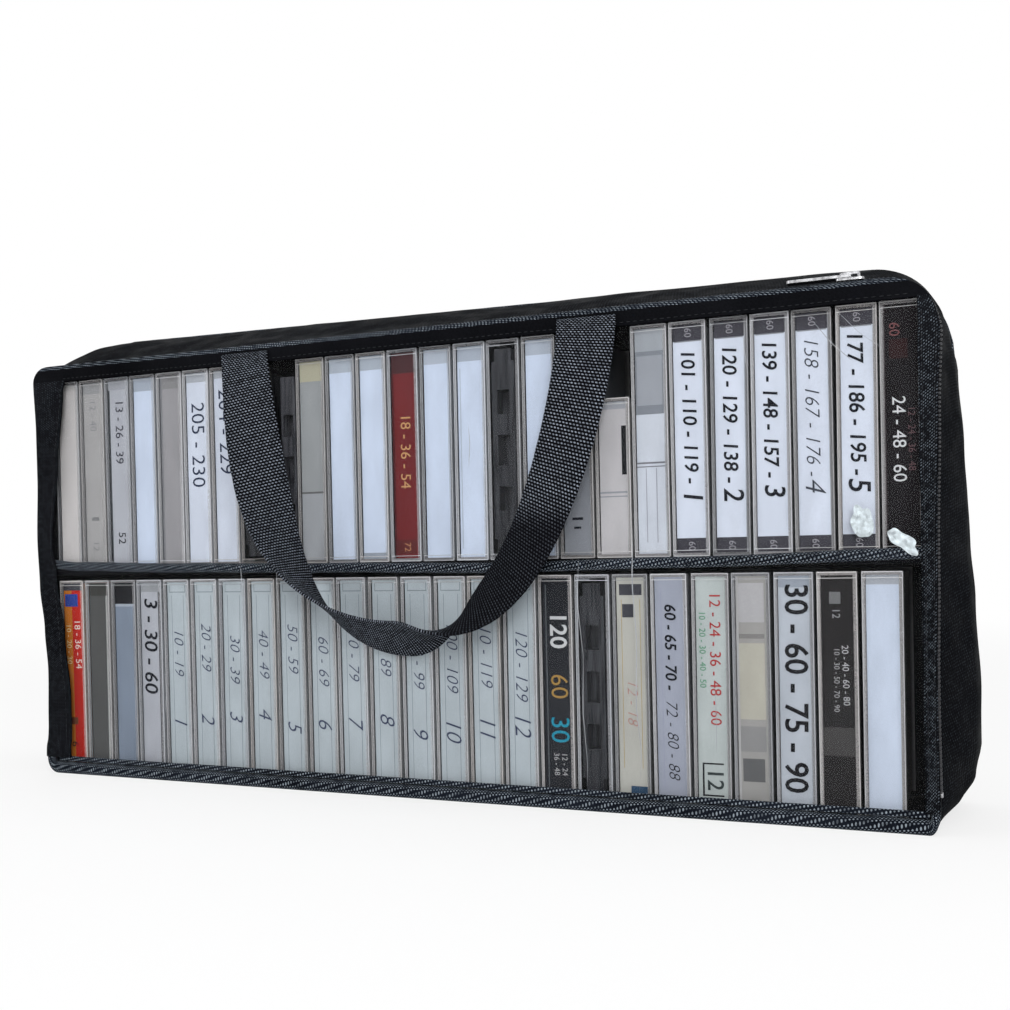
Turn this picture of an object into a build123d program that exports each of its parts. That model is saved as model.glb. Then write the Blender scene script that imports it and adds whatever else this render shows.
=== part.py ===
"""A soft zippered storage bag for cassette cases: one assembly of separate pieces, in millimetres.

X runs along the width, -Y is the clear window side and Z is up. The origin is at the middle of the
resting face. The window side is a flap that folds forward along its lower edge.
"""

import os
from math import cos, pi, radians, sin, sqrt

from build123d import *

os.makedirs("parts", exist_ok=True)

# --- bag shell
bag_width = 500.0
bag_height = 240.0
bag_depth = 78.0
panel_thick = 1.6  # laminated fabric of the walls
front_corner_r = 10.0
front_right_r = 24.0  # upper right corner of the front
front_foot_r = 8.0  # lower corners of the front
back_rise = 22.0  # how much taller the back is than the front
crown_rise = 13.0  # how much taller the body is where its top bends
crown_y = 0.0
back_corner_left_r = 16.0
back_corner_right_r = 40.0
back_foot_r = 22.0  # lower corners of the back
foot_split_z = 24.0  # where the base panel meets the side walls
piping_depth = 3.0
piping_width = 3.0
hem_height = 6.8
hem_depth = 3.0
hem_gap = 1.0  # between the hem's raised ends and the flap
back_recess = 0.9  # the back panel lies this far inside the piping's rear face

# --- zip
zip_end_z = 15.5
tape_thick = 0.8
flap_tape_width = 2.7
tooth_width = 1.6
tooth_proud = 0.6  # above the fabric
tooth_depth = 1.8  # below the fabric
tooth_gap = 1.0  # between the two rows, where the slider's web runs
body_tape_width = 4.4
stop_height = 2.5

# --- flap
window_thick = 0.6
border_thick = 0.8
window_margin = 7.4  # the clear sheet ends this far inside the flap's edge
border_top_width = 9.5
border_right_width = 11.0
border_left_width_top = 24.5
border_left_width_bend = 11.5
border_left_width_foot = 19.0
border_bend_rise = 12.0  # from the shelf's underside to the bend in the left strip
hinge_clearance = 0.6  # from the hem to the fold

# --- zip slider and pull tab
slider_length = 12.0
slider_width = 7.6
slider_plate = 1.0
slider_web = 0.6
slider_web_inset = 1.0
slider_corner_r = 1.9
slider_fit = 0.3
slider_from_side = 38.0  # at rest
bridge_reach = 3.2
bridge_height = 2.9
bridge_thick = 1.0
bridge_width = 2.4
bridge_corner_r = 0.8
tab_length = 27.0
tab_width = 6.5
tab_thick = 1.2
tab_eye_inner = 4.6
tab_pin_r = 0.6
tab_side_clear = 0.4
tab_end_r = 2.0

# --- handles
strap_width = 29.0
strap_thick = 1.6
strap_spacing = 193.0
strap_centre_x = -3.6
strap_end_drop = 4.0  # from the bag's top to the sewn ends
strap_drop = 153.0
strap_stand_off = 0.3  # from the face it is sewn to
strap_twist = 130.0  # degrees, from each end to the middle
strap_unroll = 0.7  # share of the turn that the right half has only near the loop's foot
strap_unroll_speed = 60.0  # the higher, the nearer to the foot
strap_slope = 1.3  # above 1, the legs run straighter into the loop's foot
strap_belly = 0.2  # share by which the loop's foot is wider than an arc
strap_sections = 32

# --- shelf
shelf_thick = 5.3
shelf_front_inset = 3.6
shelf_binding_depth = 1.8
shelf_binding_lap = 0.5
shelf_binding_r = 0.8
shelf_left_gap = 8.5
shelf_side_clear = 0.3  # to the zip's teeth
board_thick = 3.0
board_end_clear = 2.0  # from the end of the board to the round of the lower corners

# --- cassette cases
case_width = 17.2
case_wall = 1.2
case_front_inset = 4.0  # from the bag's front to the spines
case_back_gap = 1.5  # from the cases to the back panel
lower_head_gap = 2.6  # from the lower cases to the shelf
upper_head_gap = 7.9  # from the upper cases to the bag's top
corner_clear = 0.3  # from the corner of an end case to the bag's round
upper_left_gap = 10.4  # between that limit and the first case
upper_case_gap = 1.26
upper_left_cases = 8
upper_mid_cases = 9
free_slot_width = 8.2
bare_slot_width = 10.1
lower_left_gap = 0.46
lower_case_gap = 1.63
short_case_height = 76.0
upper_card_less = (7, 14)  # cases without a paper card, counted from the left
lower_card_less = (17,)
card_thick = 0.3
card_clear = 0.3
tape_end_clear = 3.1  # from each end of a cassette to its case
tape_side_clear = 1.4  # from each side of its thick edge to the case
tape_edge_step = 1.6  # how far the thick edge stands out on each side
tape_edge_depth = 15.0
tape_edge_taper = 6.0
tape_clear = 1.5  # from the thick edge to the spine
tape_back_clear = 2.3
tape_wall = 1.2
tape_windows = ((0.0, 15.0, 6.0), (-24.0, 12.0, 8.0), (24.0, 12.0, 8.0))  # place, width, depth
hub_bore_r = 5.6
hub_clear = 0.3
hub_wall = 0.7
hub_recess = 0.8  # of each end of a hub in the cassette's face
hub_spacing = 42.5
hub_from_edge = 29.0
post_clear = 0.4

# --- values that follow from the ones above
half_width = bag_width / 2
back_form = {
    "rise": back_rise,
    "left_r": back_corner_left_r,
    "right_r": back_corner_right_r,
    "foot_r": back_foot_r,
}
front_y = -bag_depth / 2
back_y = bag_depth / 2
piping_front = back_y - piping_depth
border_back = front_y + border_thick
window_back = border_back + window_thick
flap_teeth_y = border_back + flap_tape_width
body_teeth_y = flap_teeth_y + tooth_width + tooth_gap
body_tape_y = body_teeth_y + tooth_width
shell_y = body_tape_y + body_tape_width
hem_back = front_y + hem_depth
back_panel_front = back_y - back_recess - panel_thick
hinge_y = border_back + window_thick / 2
hinge_z = hem_height + hinge_clearance
case_y = front_y + case_front_inset
floor_z = panel_thick + board_thick
case_depth = back_panel_front - case_back_gap - case_y
clear_height = bag_height - panel_thick - upper_head_gap - shelf_thick - lower_head_gap - floor_z
case_height = clear_height / 2
shelf_z = floor_z + case_height + lower_head_gap
shelf_top = shelf_z + shelf_thick
upper_pitch = case_width + upper_case_gap
tape_width = case_height - 2 * case_wall - 2 * tape_end_clear
tape_height = case_depth - 2 * case_wall - tape_clear - tape_back_clear
tape_thick_edge = case_width - 2 * case_wall - 2 * tape_side_clear
tape_thin = tape_thick_edge - 2 * tape_edge_step
hub_outer_r = hub_bore_r - hub_clear
hub_inner_r = hub_outer_r - hub_wall
hub_height = tape_thin - 2 * hub_recess
post_r = hub_inner_r - post_clear
post_height = case_width / 2
strap_top_z = bag_height - strap_end_drop
slider_x = half_width - slider_from_side
slider_y = flap_teeth_y + tooth_width + tooth_gap / 2


def block(x0, x1, y0, y1, z0, z1):
    """A box between two corners."""
    middle = ((x0 + x1) / 2, (y0 + y1) / 2, (z0 + z1) / 2)
    return Pos(*middle) * Box(x1 - x0, y1 - y0, z1 - z0)


def band(z0, z1, x0=-bag_width, x1=bag_width):
    """A slab wider and deeper than the bag, to cut it by height."""
    return block(x0, x1, -bag_depth, bag_depth, z0, z1)


def outline(y, inset, rise=0.0, left_r=front_corner_r, right_r=front_right_r, foot_r=front_foot_r):
    """The bag's outer section at depth y, this much taller than the front and drawn in by inset."""
    width, height = bag_width - 2 * inset, bag_height + rise - 2 * inset
    face = Plane.XZ.offset(-y) * Pos(0, inset + height / 2) * Rectangle(width, height)
    for end, radius in ((0, left_r), (-1, right_r)):
        corner = face.vertices().group_by(Axis.Z)[-1].sort_by(Axis.X)[end]
        face = fillet(corner, max(radius - inset, 0.4))
    return fillet(face.vertices().group_by(Axis.Z)[0], max(foot_r - inset, 0.4))


def rim(y0, y1, outer, inner, z0=-bag_height, z1=2 * bag_height, **form):
    """A strip that follows the bag's edge from y0 to y1, between two insets and two heights."""
    ring = outline(y0, outer, **form) - outline(y0, inner, **form)
    return extrude(ring, y1 - y0, dir=(0, 1, 0)) & band(z0, z1)


def loft_body(inset):
    """The wall's body from the zip to the piping. Its top rises and its corners open out to the back."""
    front = outline(shell_y, inset)
    share = (crown_y - shell_y) / (piping_front - shell_y)
    opened = {
        key: front_r + share * (back_form[key] - front_r)
        for key, front_r in (
            ("left_r", front_corner_r),
            ("right_r", front_right_r),
            ("foot_r", front_foot_r),
        )
    }
    crown = outline(crown_y, inset, crown_rise, **opened)
    back = outline(piping_front, inset, **back_form)
    return loft([front, crown, back], ruled=True)


def shell():
    return loft_body(0) - loft_body(panel_thick)


def body_walls():
    """Top and side walls, base, back panel, piping and the fixed hem under the window."""
    wall = shell()
    top_z = bag_height + back_rise - back_corner_right_r
    parts = {
        "gusset_top": wall & band(top_z, 2 * bag_height),
        "gusset_left": wall & band(foot_split_z, top_z, x1=0),
        "gusset_right": wall & band(foot_split_z, top_z, x0=0),
    }
    foot = rim(hem_back, shell_y, 0, panel_thick, z1=zip_end_z)
    parts["base_panel"] = (wall & band(-bag_height, foot_split_z)) + foot
    parts["back_piping"] = rim(piping_front, back_y, 0, piping_width, **back_form)
    back = outline(back_panel_front, piping_width, **back_form)
    parts["back_panel"] = extrude(back, panel_thick, dir=(0, 1, 0))
    parts["front_hem"] = rim(front_y, hem_back, 0, hem_height, z1=zip_end_z - hem_gap)
    return parts


def zip_rows():
    """The two halves of the zip: a tape and a row of teeth on the body, and the same on the flap."""
    low = zip_end_z
    inner = tape_thick
    parts = {
        "flap_zip_tape": rim(border_back, flap_teeth_y, 0, inner, z0=low),
        "flap_zip_teeth": rim(flap_teeth_y, flap_teeth_y + tooth_width, -tooth_proud, tooth_depth, z0=low),
        "body_zip_tape": rim(body_tape_y, shell_y, 0, inner, z0=low),
        "body_zip_teeth": rim(
            body_teeth_y, body_tape_y, -tooth_proud, tooth_depth, z0=low + stop_height
        ),
        "zip_stops": rim(body_teeth_y, body_tape_y, -tooth_proud, tooth_depth, z0=low, z1=low + stop_height),
    }
    return parts


def flap():
    """The clear sheet and the three fabric strips sewn over its edges."""
    side = half_width - window_margin
    window = block(-side, side, border_back, window_back, hinge_z, bag_height - window_margin / 2)
    window &= extrude(outline(border_back, window_margin / 2), window_thick, dir=(0, 1, 0))
    front = extrude(outline(front_y, 0), border_thick, dir=(0, 1, 0)) & band(zip_end_z, bag_height)
    strip_z = bag_height - border_top_width
    top = front & band(strip_z, bag_height)
    right = front & band(zip_end_z, strip_z, x0=half_width - border_right_width)
    edge = [
        (-half_width, strip_z),
        (-half_width + border_left_width_top, strip_z),
        (-half_width + border_left_width_bend, shelf_z + border_bend_rise),
        (-half_width + border_left_width_foot, zip_end_z),
        (-half_width, zip_end_z),
    ]
    left_face = Plane.XZ.offset(-front_y) * make_face(Polyline(*edge, close=True))
    left = extrude(left_face, border_thick, dir=(0, 1, 0))
    return {
        "flap_window": window,
        "flap_border_top": top,
        "flap_border_left": left,
        "flap_border_right": right,
    }


def slider():
    """The slider: two plates joined by a web between the rows, open to the front and the back."""
    top_under = bag_height + tooth_proud + slider_fit
    low_top = bag_height - tooth_depth - slider_fit
    x0, x1 = slider_x - slider_length / 2, slider_x + slider_length / 2
    y0, y1 = slider_y - slider_width / 2, slider_y + slider_width / 2
    top = block(x0, x1, y0, y1, top_under, top_under + slider_plate)
    low = block(x0, x1, y0, y1, low_top - slider_plate, low_top)
    top = fillet(top.edges().filter_by(Axis.Z), slider_corner_r)
    low = fillet(low.edges().filter_by(Axis.Z), slider_corner_r)
    web_y, inset = slider_y - slider_web / 2, slider_web_inset
    web = block(x0 + inset, x1 - inset, web_y, web_y + slider_web, low_top, top_under)
    roof = top_under + slider_plate
    outer = block(
        slider_x - bridge_reach - bridge_thick,
        slider_x + bridge_reach + bridge_thick,
        slider_y - bridge_width / 2,
        slider_y + bridge_width / 2,
        roof,
        roof + bridge_height,
    )
    hollow = block(
        slider_x - bridge_reach,
        slider_x + bridge_reach,
        slider_y - bridge_width,
        slider_y + bridge_width,
        roof,
        roof + bridge_height - bridge_thick,
    )
    crown = fillet(outer.edges().filter_by(Axis.Y).group_by(Axis.Z)[-1], bridge_corner_r)
    return {"slider_body": top + low + web, "slider_bridge": crown - hollow}


def tab_axis_z():
    """Height of the pull tab's pin, midway under the bridge."""
    roof = bag_height + tooth_proud + slider_fit + slider_plate
    return roof + (bridge_height - bridge_thick) / 2


def pull_tab():
    """The flat tab, lying towards -X, with an eye whose pin runs under the slider's bridge."""
    z = tab_axis_z()
    x1 = slider_x + tab_pin_r
    x0 = slider_x - tab_length
    half, half_eye = tab_width / 2, bridge_width / 2 + tab_side_clear
    plate = block(x0, x1, slider_y - half, slider_y + half, z - tab_thick / 2, z + tab_thick / 2)
    plate = fillet(plate.edges().filter_by(Axis.Z).group_by(Axis.X)[0], tab_end_r)
    eye_x0, eye_x1 = slider_x - tab_eye_inner, slider_x + tab_width
    eye = block(eye_x0, eye_x1, slider_y - half_eye, slider_y + half_eye, z - tab_thick, z + tab_thick)
    pin = Pos(slider_x, slider_y, z) * Rot(90, 0, 0) * Cylinder(tab_pin_r, tab_width)
    return {"pull_tab": (plate - eye) + pin}


def strap_swing(share):
    """How far the front strap has turned over, share 0 to 1 from one sewn end to the other."""
    turn = pi * share
    late = strap_unroll if share > 0.5 else 0.0
    return radians(strap_twist) * ((1 - late) * sin(turn) ** 2 + late * sin(turn) ** strap_unroll_speed)


def strap_station(share):
    """The middle of the front strap. Its inner edge keeps the same distance from the window side."""
    turn = pi * share
    belly = 1 + strap_belly * sin(turn) ** 4
    x = strap_centre_x - strap_spacing / 2 * cos(turn) * belly
    z = strap_top_z - strap_drop * sin(turn) ** strap_slope
    swing = strap_swing(share)
    half_deep = (strap_width * sin(swing) + strap_thick * abs(cos(swing))) / 2
    return Vector(x, front_y - strap_stand_off - half_deep, z)


def strap_plane(share):
    """The plane across the strap, its X along the width."""
    step = 0.25 / strap_sections
    before, after = strap_station(max(share - step, 0.0)), strap_station(min(share + step, 1.0))
    run = Vector(after.X - before.X, 0, after.Z - before.Z).normalized()
    forward = Vector(0, -1, 0)
    outward = forward.cross(run)
    swing = strap_swing(share)
    face = forward * cos(swing) + outward * sin(swing)
    return Plane(origin=strap_station(share), x_dir=run.cross(face), z_dir=run)


def front_strap():
    """The front handle: one flat strap that hangs in a loop and turns over on the way round."""
    shares = [n / strap_sections for n in range(strap_sections + 1)]
    sections = [strap_plane(s) * Rectangle(strap_width, strap_thick) for s in shares]
    return loft(sections, ruled=True)


def handles():
    """The front handle, and its mirror image that lies as close to the back panel."""
    front = front_strap()
    return {"front_strap": front, "rear_strap": Pos(0, -back_recess, 0) * front.mirror(Plane.XZ)}


def shelf():
    """The padded shelf between the two rows, its bound front edge and the board in the base."""
    x0, x1 = -half_width + shelf_left_gap, half_width - tooth_depth - shelf_side_clear
    y0 = front_y + shelf_front_inset
    panel = block(x0, x1, y0, piping_front, shelf_z, shelf_top)
    y_bind = y0 - shelf_binding_depth
    binding = block(x0, x1, y_bind, y0, shelf_z - shelf_binding_lap, shelf_top + shelf_binding_lap)
    binding = fillet(binding.edges().filter_by(Axis.X).group_by(Axis.Y)[0], shelf_binding_r)
    board_end = half_width - back_foot_r - board_end_clear
    board = block(-board_end, board_end, case_y, case_y + case_depth, panel_thick, floor_z)
    return {"shelf_panel": panel, "shelf_binding": binding, "base_board": board}


def case_lid(height):
    """A lid with its spine towards the window: face, spine, ends and back."""
    whole = block(0, case_width, 0, case_depth, 0, height)
    w, near = case_wall, case_wall + card_clear
    hollow = block(-w, case_width - w, w, case_depth - w, w, height - w)
    tray_room = block(-w, near, near, case_depth + w, near, height - near)
    return whole - hollow - tray_room


def case_tray(height, posts):
    """The tray that closes the lid, with two posts that hold the cassette's hubs."""
    w, c = case_wall, card_clear
    tray = block(0, w, w + 2 * c, case_depth, w + 2 * c, height - w - 2 * c)
    if posts:
        for side in (-1, 1):
            z = height / 2 + side * hub_spacing / 2
            y = w + tape_clear + tape_height - hub_from_edge
            tray += Pos(w + post_height / 2, y, z) * Rot(0, 90, 0) * Cylinder(post_r, post_height)
    return tray


def case_card(height):
    """The folded paper card: its spine panel and the panel behind the lid's face."""
    w, c = case_wall, card_clear
    x1 = case_width - w - c
    low, high = w + c, height - w - c
    spine = block(w + 2 * c, x1, w + c, w + c + card_thick, low, high)
    leaf = block(x1 - card_thick, x1, w + c, case_depth - w - 5 * c, low, high)
    return spine + leaf


def tape_shell():
    """A cassette on its end, tape edge towards -Y, with its middle at x 0 and its edge at y 0."""
    thin = block(-tape_thin / 2, tape_thin / 2, 0, tape_height, -tape_width / 2, tape_width / 2)
    low, high = tape_width / 2 - tape_edge_taper, tape_width / 2 - 2 * tape_edge_taper
    edge = [(0, -low), (0, low), (tape_edge_depth, high), (tape_edge_depth, -high)]
    thick = extrude(Plane.YZ * make_face(Polyline(*edge, close=True)), tape_thick_edge / 2, both=True)
    body = thin + thick
    inside = tape_thin / 2 - tape_wall
    for z, width, deep in tape_windows:
        body -= block(-inside, inside, -tape_wall, deep, z - width / 2, z + width / 2)
    for side in (-1, 1):
        z = side * hub_spacing / 2
        y = tape_height - hub_from_edge
        body -= Pos(0, y, z) * Rot(0, 90, 0) * Cylinder(hub_bore_r, tape_thick_edge * 2)
    return body


def tape_hubs():
    """The two hubs in their bores."""
    ring = Cylinder(hub_outer_r, hub_height) - Cylinder(hub_inner_r, hub_height)
    y = tape_height - hub_from_edge
    return [Pos(0, y, side * hub_spacing / 2) * Rot(0, 90, 0) * ring for side in (-1, 1)]


def row_reach(corner_r, rise):
    """How far out a case may stand whose corner is this far into the round of the bag's rear corner."""
    room = corner_r - panel_thick - corner_clear
    return half_width - corner_r + sqrt(room**2 - max(rise, 0.0) ** 2)


def fitting(first, limit, gap):
    """Left edges of as many cases, this far apart, as fit between first and limit."""
    pitch = case_width + gap
    return [first + n * pitch for n in range(int((limit - first + gap) / pitch))]


def upper_places():
    """Left edges of the upper row's full-height cases, and of the bare cassette and short case."""
    cases_top, back_top = shelf_top + case_height, bag_height + back_rise
    left_reach = row_reach(back_corner_left_r, cases_top - (back_top - back_corner_left_r))
    right_reach = row_reach(back_corner_right_r, cases_top - (back_top - back_corner_right_r))
    start = -left_reach + upper_left_gap
    left = [start + n * upper_pitch for n in range(upper_left_cases)]
    bare = start + upper_left_cases * upper_pitch + free_slot_width
    mid_start = bare + bare_slot_width
    middle = [mid_start + n * upper_pitch for n in range(upper_mid_cases)]
    short = mid_start + upper_mid_cases * upper_pitch
    right = fitting(short + upper_pitch, right_reach, upper_case_gap)
    return left + middle + right, bare, short


def lower_places():
    reach = row_reach(back_foot_r, back_foot_r - floor_z)
    return fitting(-reach + lower_left_gap, reach, lower_case_gap)


def row(name, places, z, card_less):
    """Cases with their cassettes at the given left edges, standing on z."""
    lid, tray = case_lid(case_height), case_tray(case_height, True)
    card, tape, hubs = case_card(case_height), tape_shell(), tape_hubs()
    seat = (case_wall + 2 * card_clear + tape_thick_edge / 2, case_wall + tape_clear)
    spots = [Pos(x, case_y, z) for x in places]
    inner = [Pos(x + seat[0], case_y + seat[1], z + case_height / 2) for x in places]
    return {
        name + "_lids": [p * lid for p in spots],
        name + "_trays": [p * tray for p in spots],
        name + "_cards": [p * card for n, p in enumerate(spots) if n not in card_less],
        name + "_tapes": [p * tape for p in inner],
        name + "_hubs": [p * hub for p in inner for hub in hubs],
    }


def contents():
    """Both rows of cases, the short case and the cassette that stands without one."""
    full, bare, short = upper_places()
    parts = row("upper", full, shelf_top, upper_card_less)
    parts.update(row("lower", lower_places(), floor_z, lower_card_less))
    spot = Pos(short, case_y, shelf_top)
    parts["short_lid"] = spot * case_lid(short_case_height)
    parts["short_tray"] = spot * case_tray(short_case_height, False)
    parts["short_card"] = spot * case_card(short_case_height)
    middle = Pos(bare + tape_thin / 2, case_y + tape_clear, shelf_top + tape_width / 2)
    flat = tape_shell() & block(-tape_thin / 2, tape_thin / 2, -1, bag_depth, -bag_height, bag_height)
    parts["bare_tape"] = middle * flat
    parts["bare_hubs"] = [middle * hub for hub in tape_hubs()]
    return parts


def build():
    parts = {}
    for group in (body_walls, zip_rows, flap, slider, pull_tab, handles, shelf, contents):
        parts.update(group())
    return parts


for name, piece in build().items():
    solids = piece if isinstance(piece, list) else [piece]
    children = [s for item in solids for s in item.solids()]
    shape = children[0] if len(children) == 1 else Compound(children=children)
    export_step(shape, f"parts/{name}.step")
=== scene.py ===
"""Looks for a soft zippered storage bag of cassette cases, built round its fixed CAD frame.

Places and sizes in the functions are in millimetres. A finished piece is in metres.
X runs along the width, -Y is the clear window side and Z is up.
"""

import random
from math import copysign, cos, exp, pi, radians, sin, sqrt

import bmesh
import bpy
from bpy.props import FloatProperty, FloatVectorProperty, IntProperty, PointerProperty
from mathutils import Matrix, Vector, noise


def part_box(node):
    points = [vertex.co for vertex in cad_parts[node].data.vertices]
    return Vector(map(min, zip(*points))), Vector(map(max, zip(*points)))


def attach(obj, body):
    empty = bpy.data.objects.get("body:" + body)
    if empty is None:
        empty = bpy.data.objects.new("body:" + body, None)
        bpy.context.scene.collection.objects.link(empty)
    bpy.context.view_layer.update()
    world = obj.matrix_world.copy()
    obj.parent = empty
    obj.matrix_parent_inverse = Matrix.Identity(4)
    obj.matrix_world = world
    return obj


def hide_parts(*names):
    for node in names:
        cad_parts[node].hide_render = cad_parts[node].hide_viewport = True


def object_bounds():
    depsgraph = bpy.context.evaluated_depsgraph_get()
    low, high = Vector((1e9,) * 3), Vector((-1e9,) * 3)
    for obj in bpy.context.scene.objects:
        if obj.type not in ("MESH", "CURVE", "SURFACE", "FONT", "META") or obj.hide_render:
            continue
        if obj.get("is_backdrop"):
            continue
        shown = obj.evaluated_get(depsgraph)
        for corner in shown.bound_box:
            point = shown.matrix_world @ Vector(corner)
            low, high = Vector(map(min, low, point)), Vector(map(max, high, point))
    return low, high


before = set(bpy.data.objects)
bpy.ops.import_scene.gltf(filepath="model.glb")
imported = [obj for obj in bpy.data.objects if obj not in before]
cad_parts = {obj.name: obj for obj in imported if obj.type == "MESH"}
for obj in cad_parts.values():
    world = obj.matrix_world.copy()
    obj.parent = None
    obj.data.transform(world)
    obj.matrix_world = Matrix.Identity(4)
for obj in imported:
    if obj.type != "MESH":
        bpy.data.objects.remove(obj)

bl_info = {
    "name": "Cassette bag",
    "version": (1, 0, 0),
    "blender": (4, 5, 0),
    "location": "3D View > Sidebar > Cassette bag",
    "description": "Builds the looks of a zippered bag that holds cassette cases in two rows",
    "category": "Add Mesh",
}

MM = 0.001
CAD_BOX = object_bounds()
UV = "Surface"
TINT = "Tint"


def corners(node):
    """The lowest and highest corners of a CAD node, in millimetres."""
    low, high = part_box(node)
    return low / MM, high / MM


FRONT_Y = corners("flap_border_top")[0].y
BORDER_BACK = corners("flap_border_top")[1].y
FLAP_TEETH_Y = corners("flap_zip_tape")[1].y
FLAP_TEETH_BACK = corners("flap_zip_teeth")[1].y
SLIDER_BACK = corners("slider_body")[1].y
BODY_TEETH_Y = corners("body_zip_teeth")[0].y
BODY_TAPE_Y = corners("body_zip_tape")[0].y
SHELL_Y = corners("body_zip_tape")[1].y
BACK_Y = corners("back_piping")[1].y
PIPING_Y = corners("back_piping")[0].y
BACK_PANEL_Y = corners("back_panel")[1].y
ZIP_END_Z = corners("flap_zip_tape")[0].z
HEM_BACK = corners("front_hem")[1].y
HINGE_Z = corners("flap_window")[0].z
CASE_Y = corners("upper_lids")[0].y
SHELF_TOP = corners("shelf_panel")[1].z
LOWER_Z = corners("lower_lids")[0].z
HALF_WIDTH = round(corners("gusset_right")[1].x, 3)


# --- sizes and colours that a user may change


def length(name, text, default):
    """A length in millimetres, kept as a property in metres."""
    value = default * MM
    return FloatProperty(name=name, description=text, default=value, unit="LENGTH", precision=4)


def angle(name, text, degrees):
    """An angle in degrees, kept as a property in radians."""
    return FloatProperty(name=name, description=text, default=radians(degrees), subtype="ANGLE")


def number(name, text, default, least=0.0):
    """A plain number that stays at or over its least value."""
    return FloatProperty(name=name, description=text, default=default, min=least)


def power(name, text, default):
    """The power of a lamp, in watts."""
    return FloatProperty(name=name, description=text, default=default, unit="POWER")


def colour(name, text, *default):
    """A colour property."""
    return FloatVectorProperty(
        name=name, description=text, default=default, subtype="COLOR", size=3, min=0.0, max=1.0
    )


class TAPEBAG_BagSizes(bpy.types.PropertyGroup):
    """Sizes of the bag's fabric, zip and handles."""

    height: length("Height at the zip", "Height of the bag's front", corners("flap_border_top")[1].z)
    back_rise: length("Back rise", "How much taller the back is than the front", 21.2)
    crown_rise: length("Crown rise", "How much taller the bag is at mid depth", 13.0)
    front_round: length("Front corner", "Radius of the front's upper left corner", 10.0)
    front_foot_round: length("Front foot corner", "Radius of the front's lower corners", 8.0)
    front_round_right: length("Front right corner", "Radius of the front's upper right corner", 24.0)
    back_round_left: length("Rear left corner", "Radius of the back's upper left corner", 16.0)
    back_round_right: length("Rear right corner", "Radius of the back's upper right corner", 40.0)
    back_foot_round: length("Rear foot corner", "Radius of the back's lower corners", 22.0)
    lean: length("Back lean", "How much higher the back's left end is than its middle", 3.5)
    hump: length("Hump", "How far the fabric stands up behind the zip's left end", 2.6)
    side_swell: length("Side swell", "How far the loose right side stands out near its foot", 13.0)
    fabric: length("Fabric thickness", "Thickness of the walls", 1.6)
    border: length("Border thickness", "Thickness of the strips round the window", 0.8)
    border_top: length("Top border", "Height of the border over the window", 9.6)
    border_right: length("Right border", "Width of the border right of the window", 10.6)
    sheet: length("Sheet thickness", "Thickness of the clear sheet", 0.35)
    ripple: length("Sheet ripple", "How far the clear sheet waves in and out", 0.16)
    tooth_pitch: length("Tooth pitch", "Distance between teeth of one zip row", 1.9)
    tooth_proud: length("Tooth height", "How far the teeth stand over the fabric", 0.8)
    strap_width: length("Strap width", "Width of the webbing", 29.0)
    strap_thick: length("Strap thickness", "Thickness of the webbing", 1.6)
    strap_spacing: length("Strap spacing", "Distance between a handle's two ends", 193.0)
    strap_centre: length("Strap centre", "Middle of the handles along the width", -3.6)
    strap_top: length("Strap top", "Height of the sewn ends", 236.0)
    strap_drop: length("Strap drop", "How far a handle hangs down", 153.0)
    strap_twist: angle("Strap turn", "Turn of the webbing down to the middle of its loop", 130)
    strap_unroll: number("Strap unroll", "Share of the turn that comes undone just past the loop's middle", 0.7)
    strap_unroll_speed: number("Unroll speed", "How soon that share is undone", 24.0)


class TAPEBAG_CaseSizes(bpy.types.PropertyGroup):
    """Sizes of the cassette cases."""

    width: length("Case width", "Width of a case's spine", 17.2)
    depth: length("Case depth", "Depth of a case", 70.0)
    height: length("Case height", "Height of a case on its end", 109.0)
    short_height: length("Short case", "Height of the short case", 76.0)
    wall: length("Case wall", "Thickness of the clear plastic", 1.2)
    looseness: length("Looseness", "How far a case may lean from upright at its top", 0.35)
    seed: IntProperty(name="Seed", description="Seed of the small differences between cases", default=7)


class TAPEBAG_Colours(bpy.types.PropertyGroup):
    """Colours of the finishes."""

    fabric: colour("Fabric", "Embossed fabric of the walls", 0.0022, 0.0024, 0.0030)
    border: colour("Border", "Fabric strips round the window", 0.0026, 0.0028, 0.0036)
    fleck: colour("Fleck", "Pale threads that show as dots", 0.066, 0.078, 0.092)
    binding: colour("Binding", "Rolled binding of the hem and the shelf", 0.0045, 0.0058, 0.0090)
    binding_fleck: colour("Binding fleck", "Dots of the binding's weave", 0.225, 0.26, 0.295)
    tape: colour("Zip tape", "Woven tape of the zip", 0.0028, 0.0028, 0.0034)
    teeth: colour("Zip teeth", "Moulded coil of the zip", 0.030, 0.031, 0.036)
    metal: colour("Zip metal", "Slider, pull tab and stops", 0.46, 0.465, 0.48)
    webbing: colour("Webbing", "Ground of the webbing", 0.0026, 0.0027, 0.0036)
    webbing_dot: colour("Webbing dots", "Pale dashes of the webbing", 0.235, 0.265, 0.315)
    thread: colour("Thread", "Sewing thread", 0.016, 0.017, 0.020)
    clear: colour("Clear sheet", "Tint of the clear sheet", 0.978, 0.98, 0.985)
    # The crease colour is the painted highlight along the clear sheet's folds.
    crease: colour("Creases", "White creases of the clear sheet", 0.72, 0.75, 0.80)
    case: colour("Clear case", "Tint of the clear cases", 0.968, 0.972, 0.978)
    # The case edge colour is a painted highlight on the clear cases' edges.
    edge: colour("Case edge", "Pale edges of the clear cases", 0.60, 0.60, 0.605)
    shelf: colour("Shelf", "Fabric over the shelf", 0.0032, 0.0034, 0.0044)
    board: colour("Board", "Stiffening board in the base", 0.05, 0.046, 0.04)
    cassette: colour("Cassette", "Moulded cassette shells", 0.028, 0.029, 0.033)
    hub: colour("Hub", "White hubs of the cassettes", 0.68, 0.68, 0.65)


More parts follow.
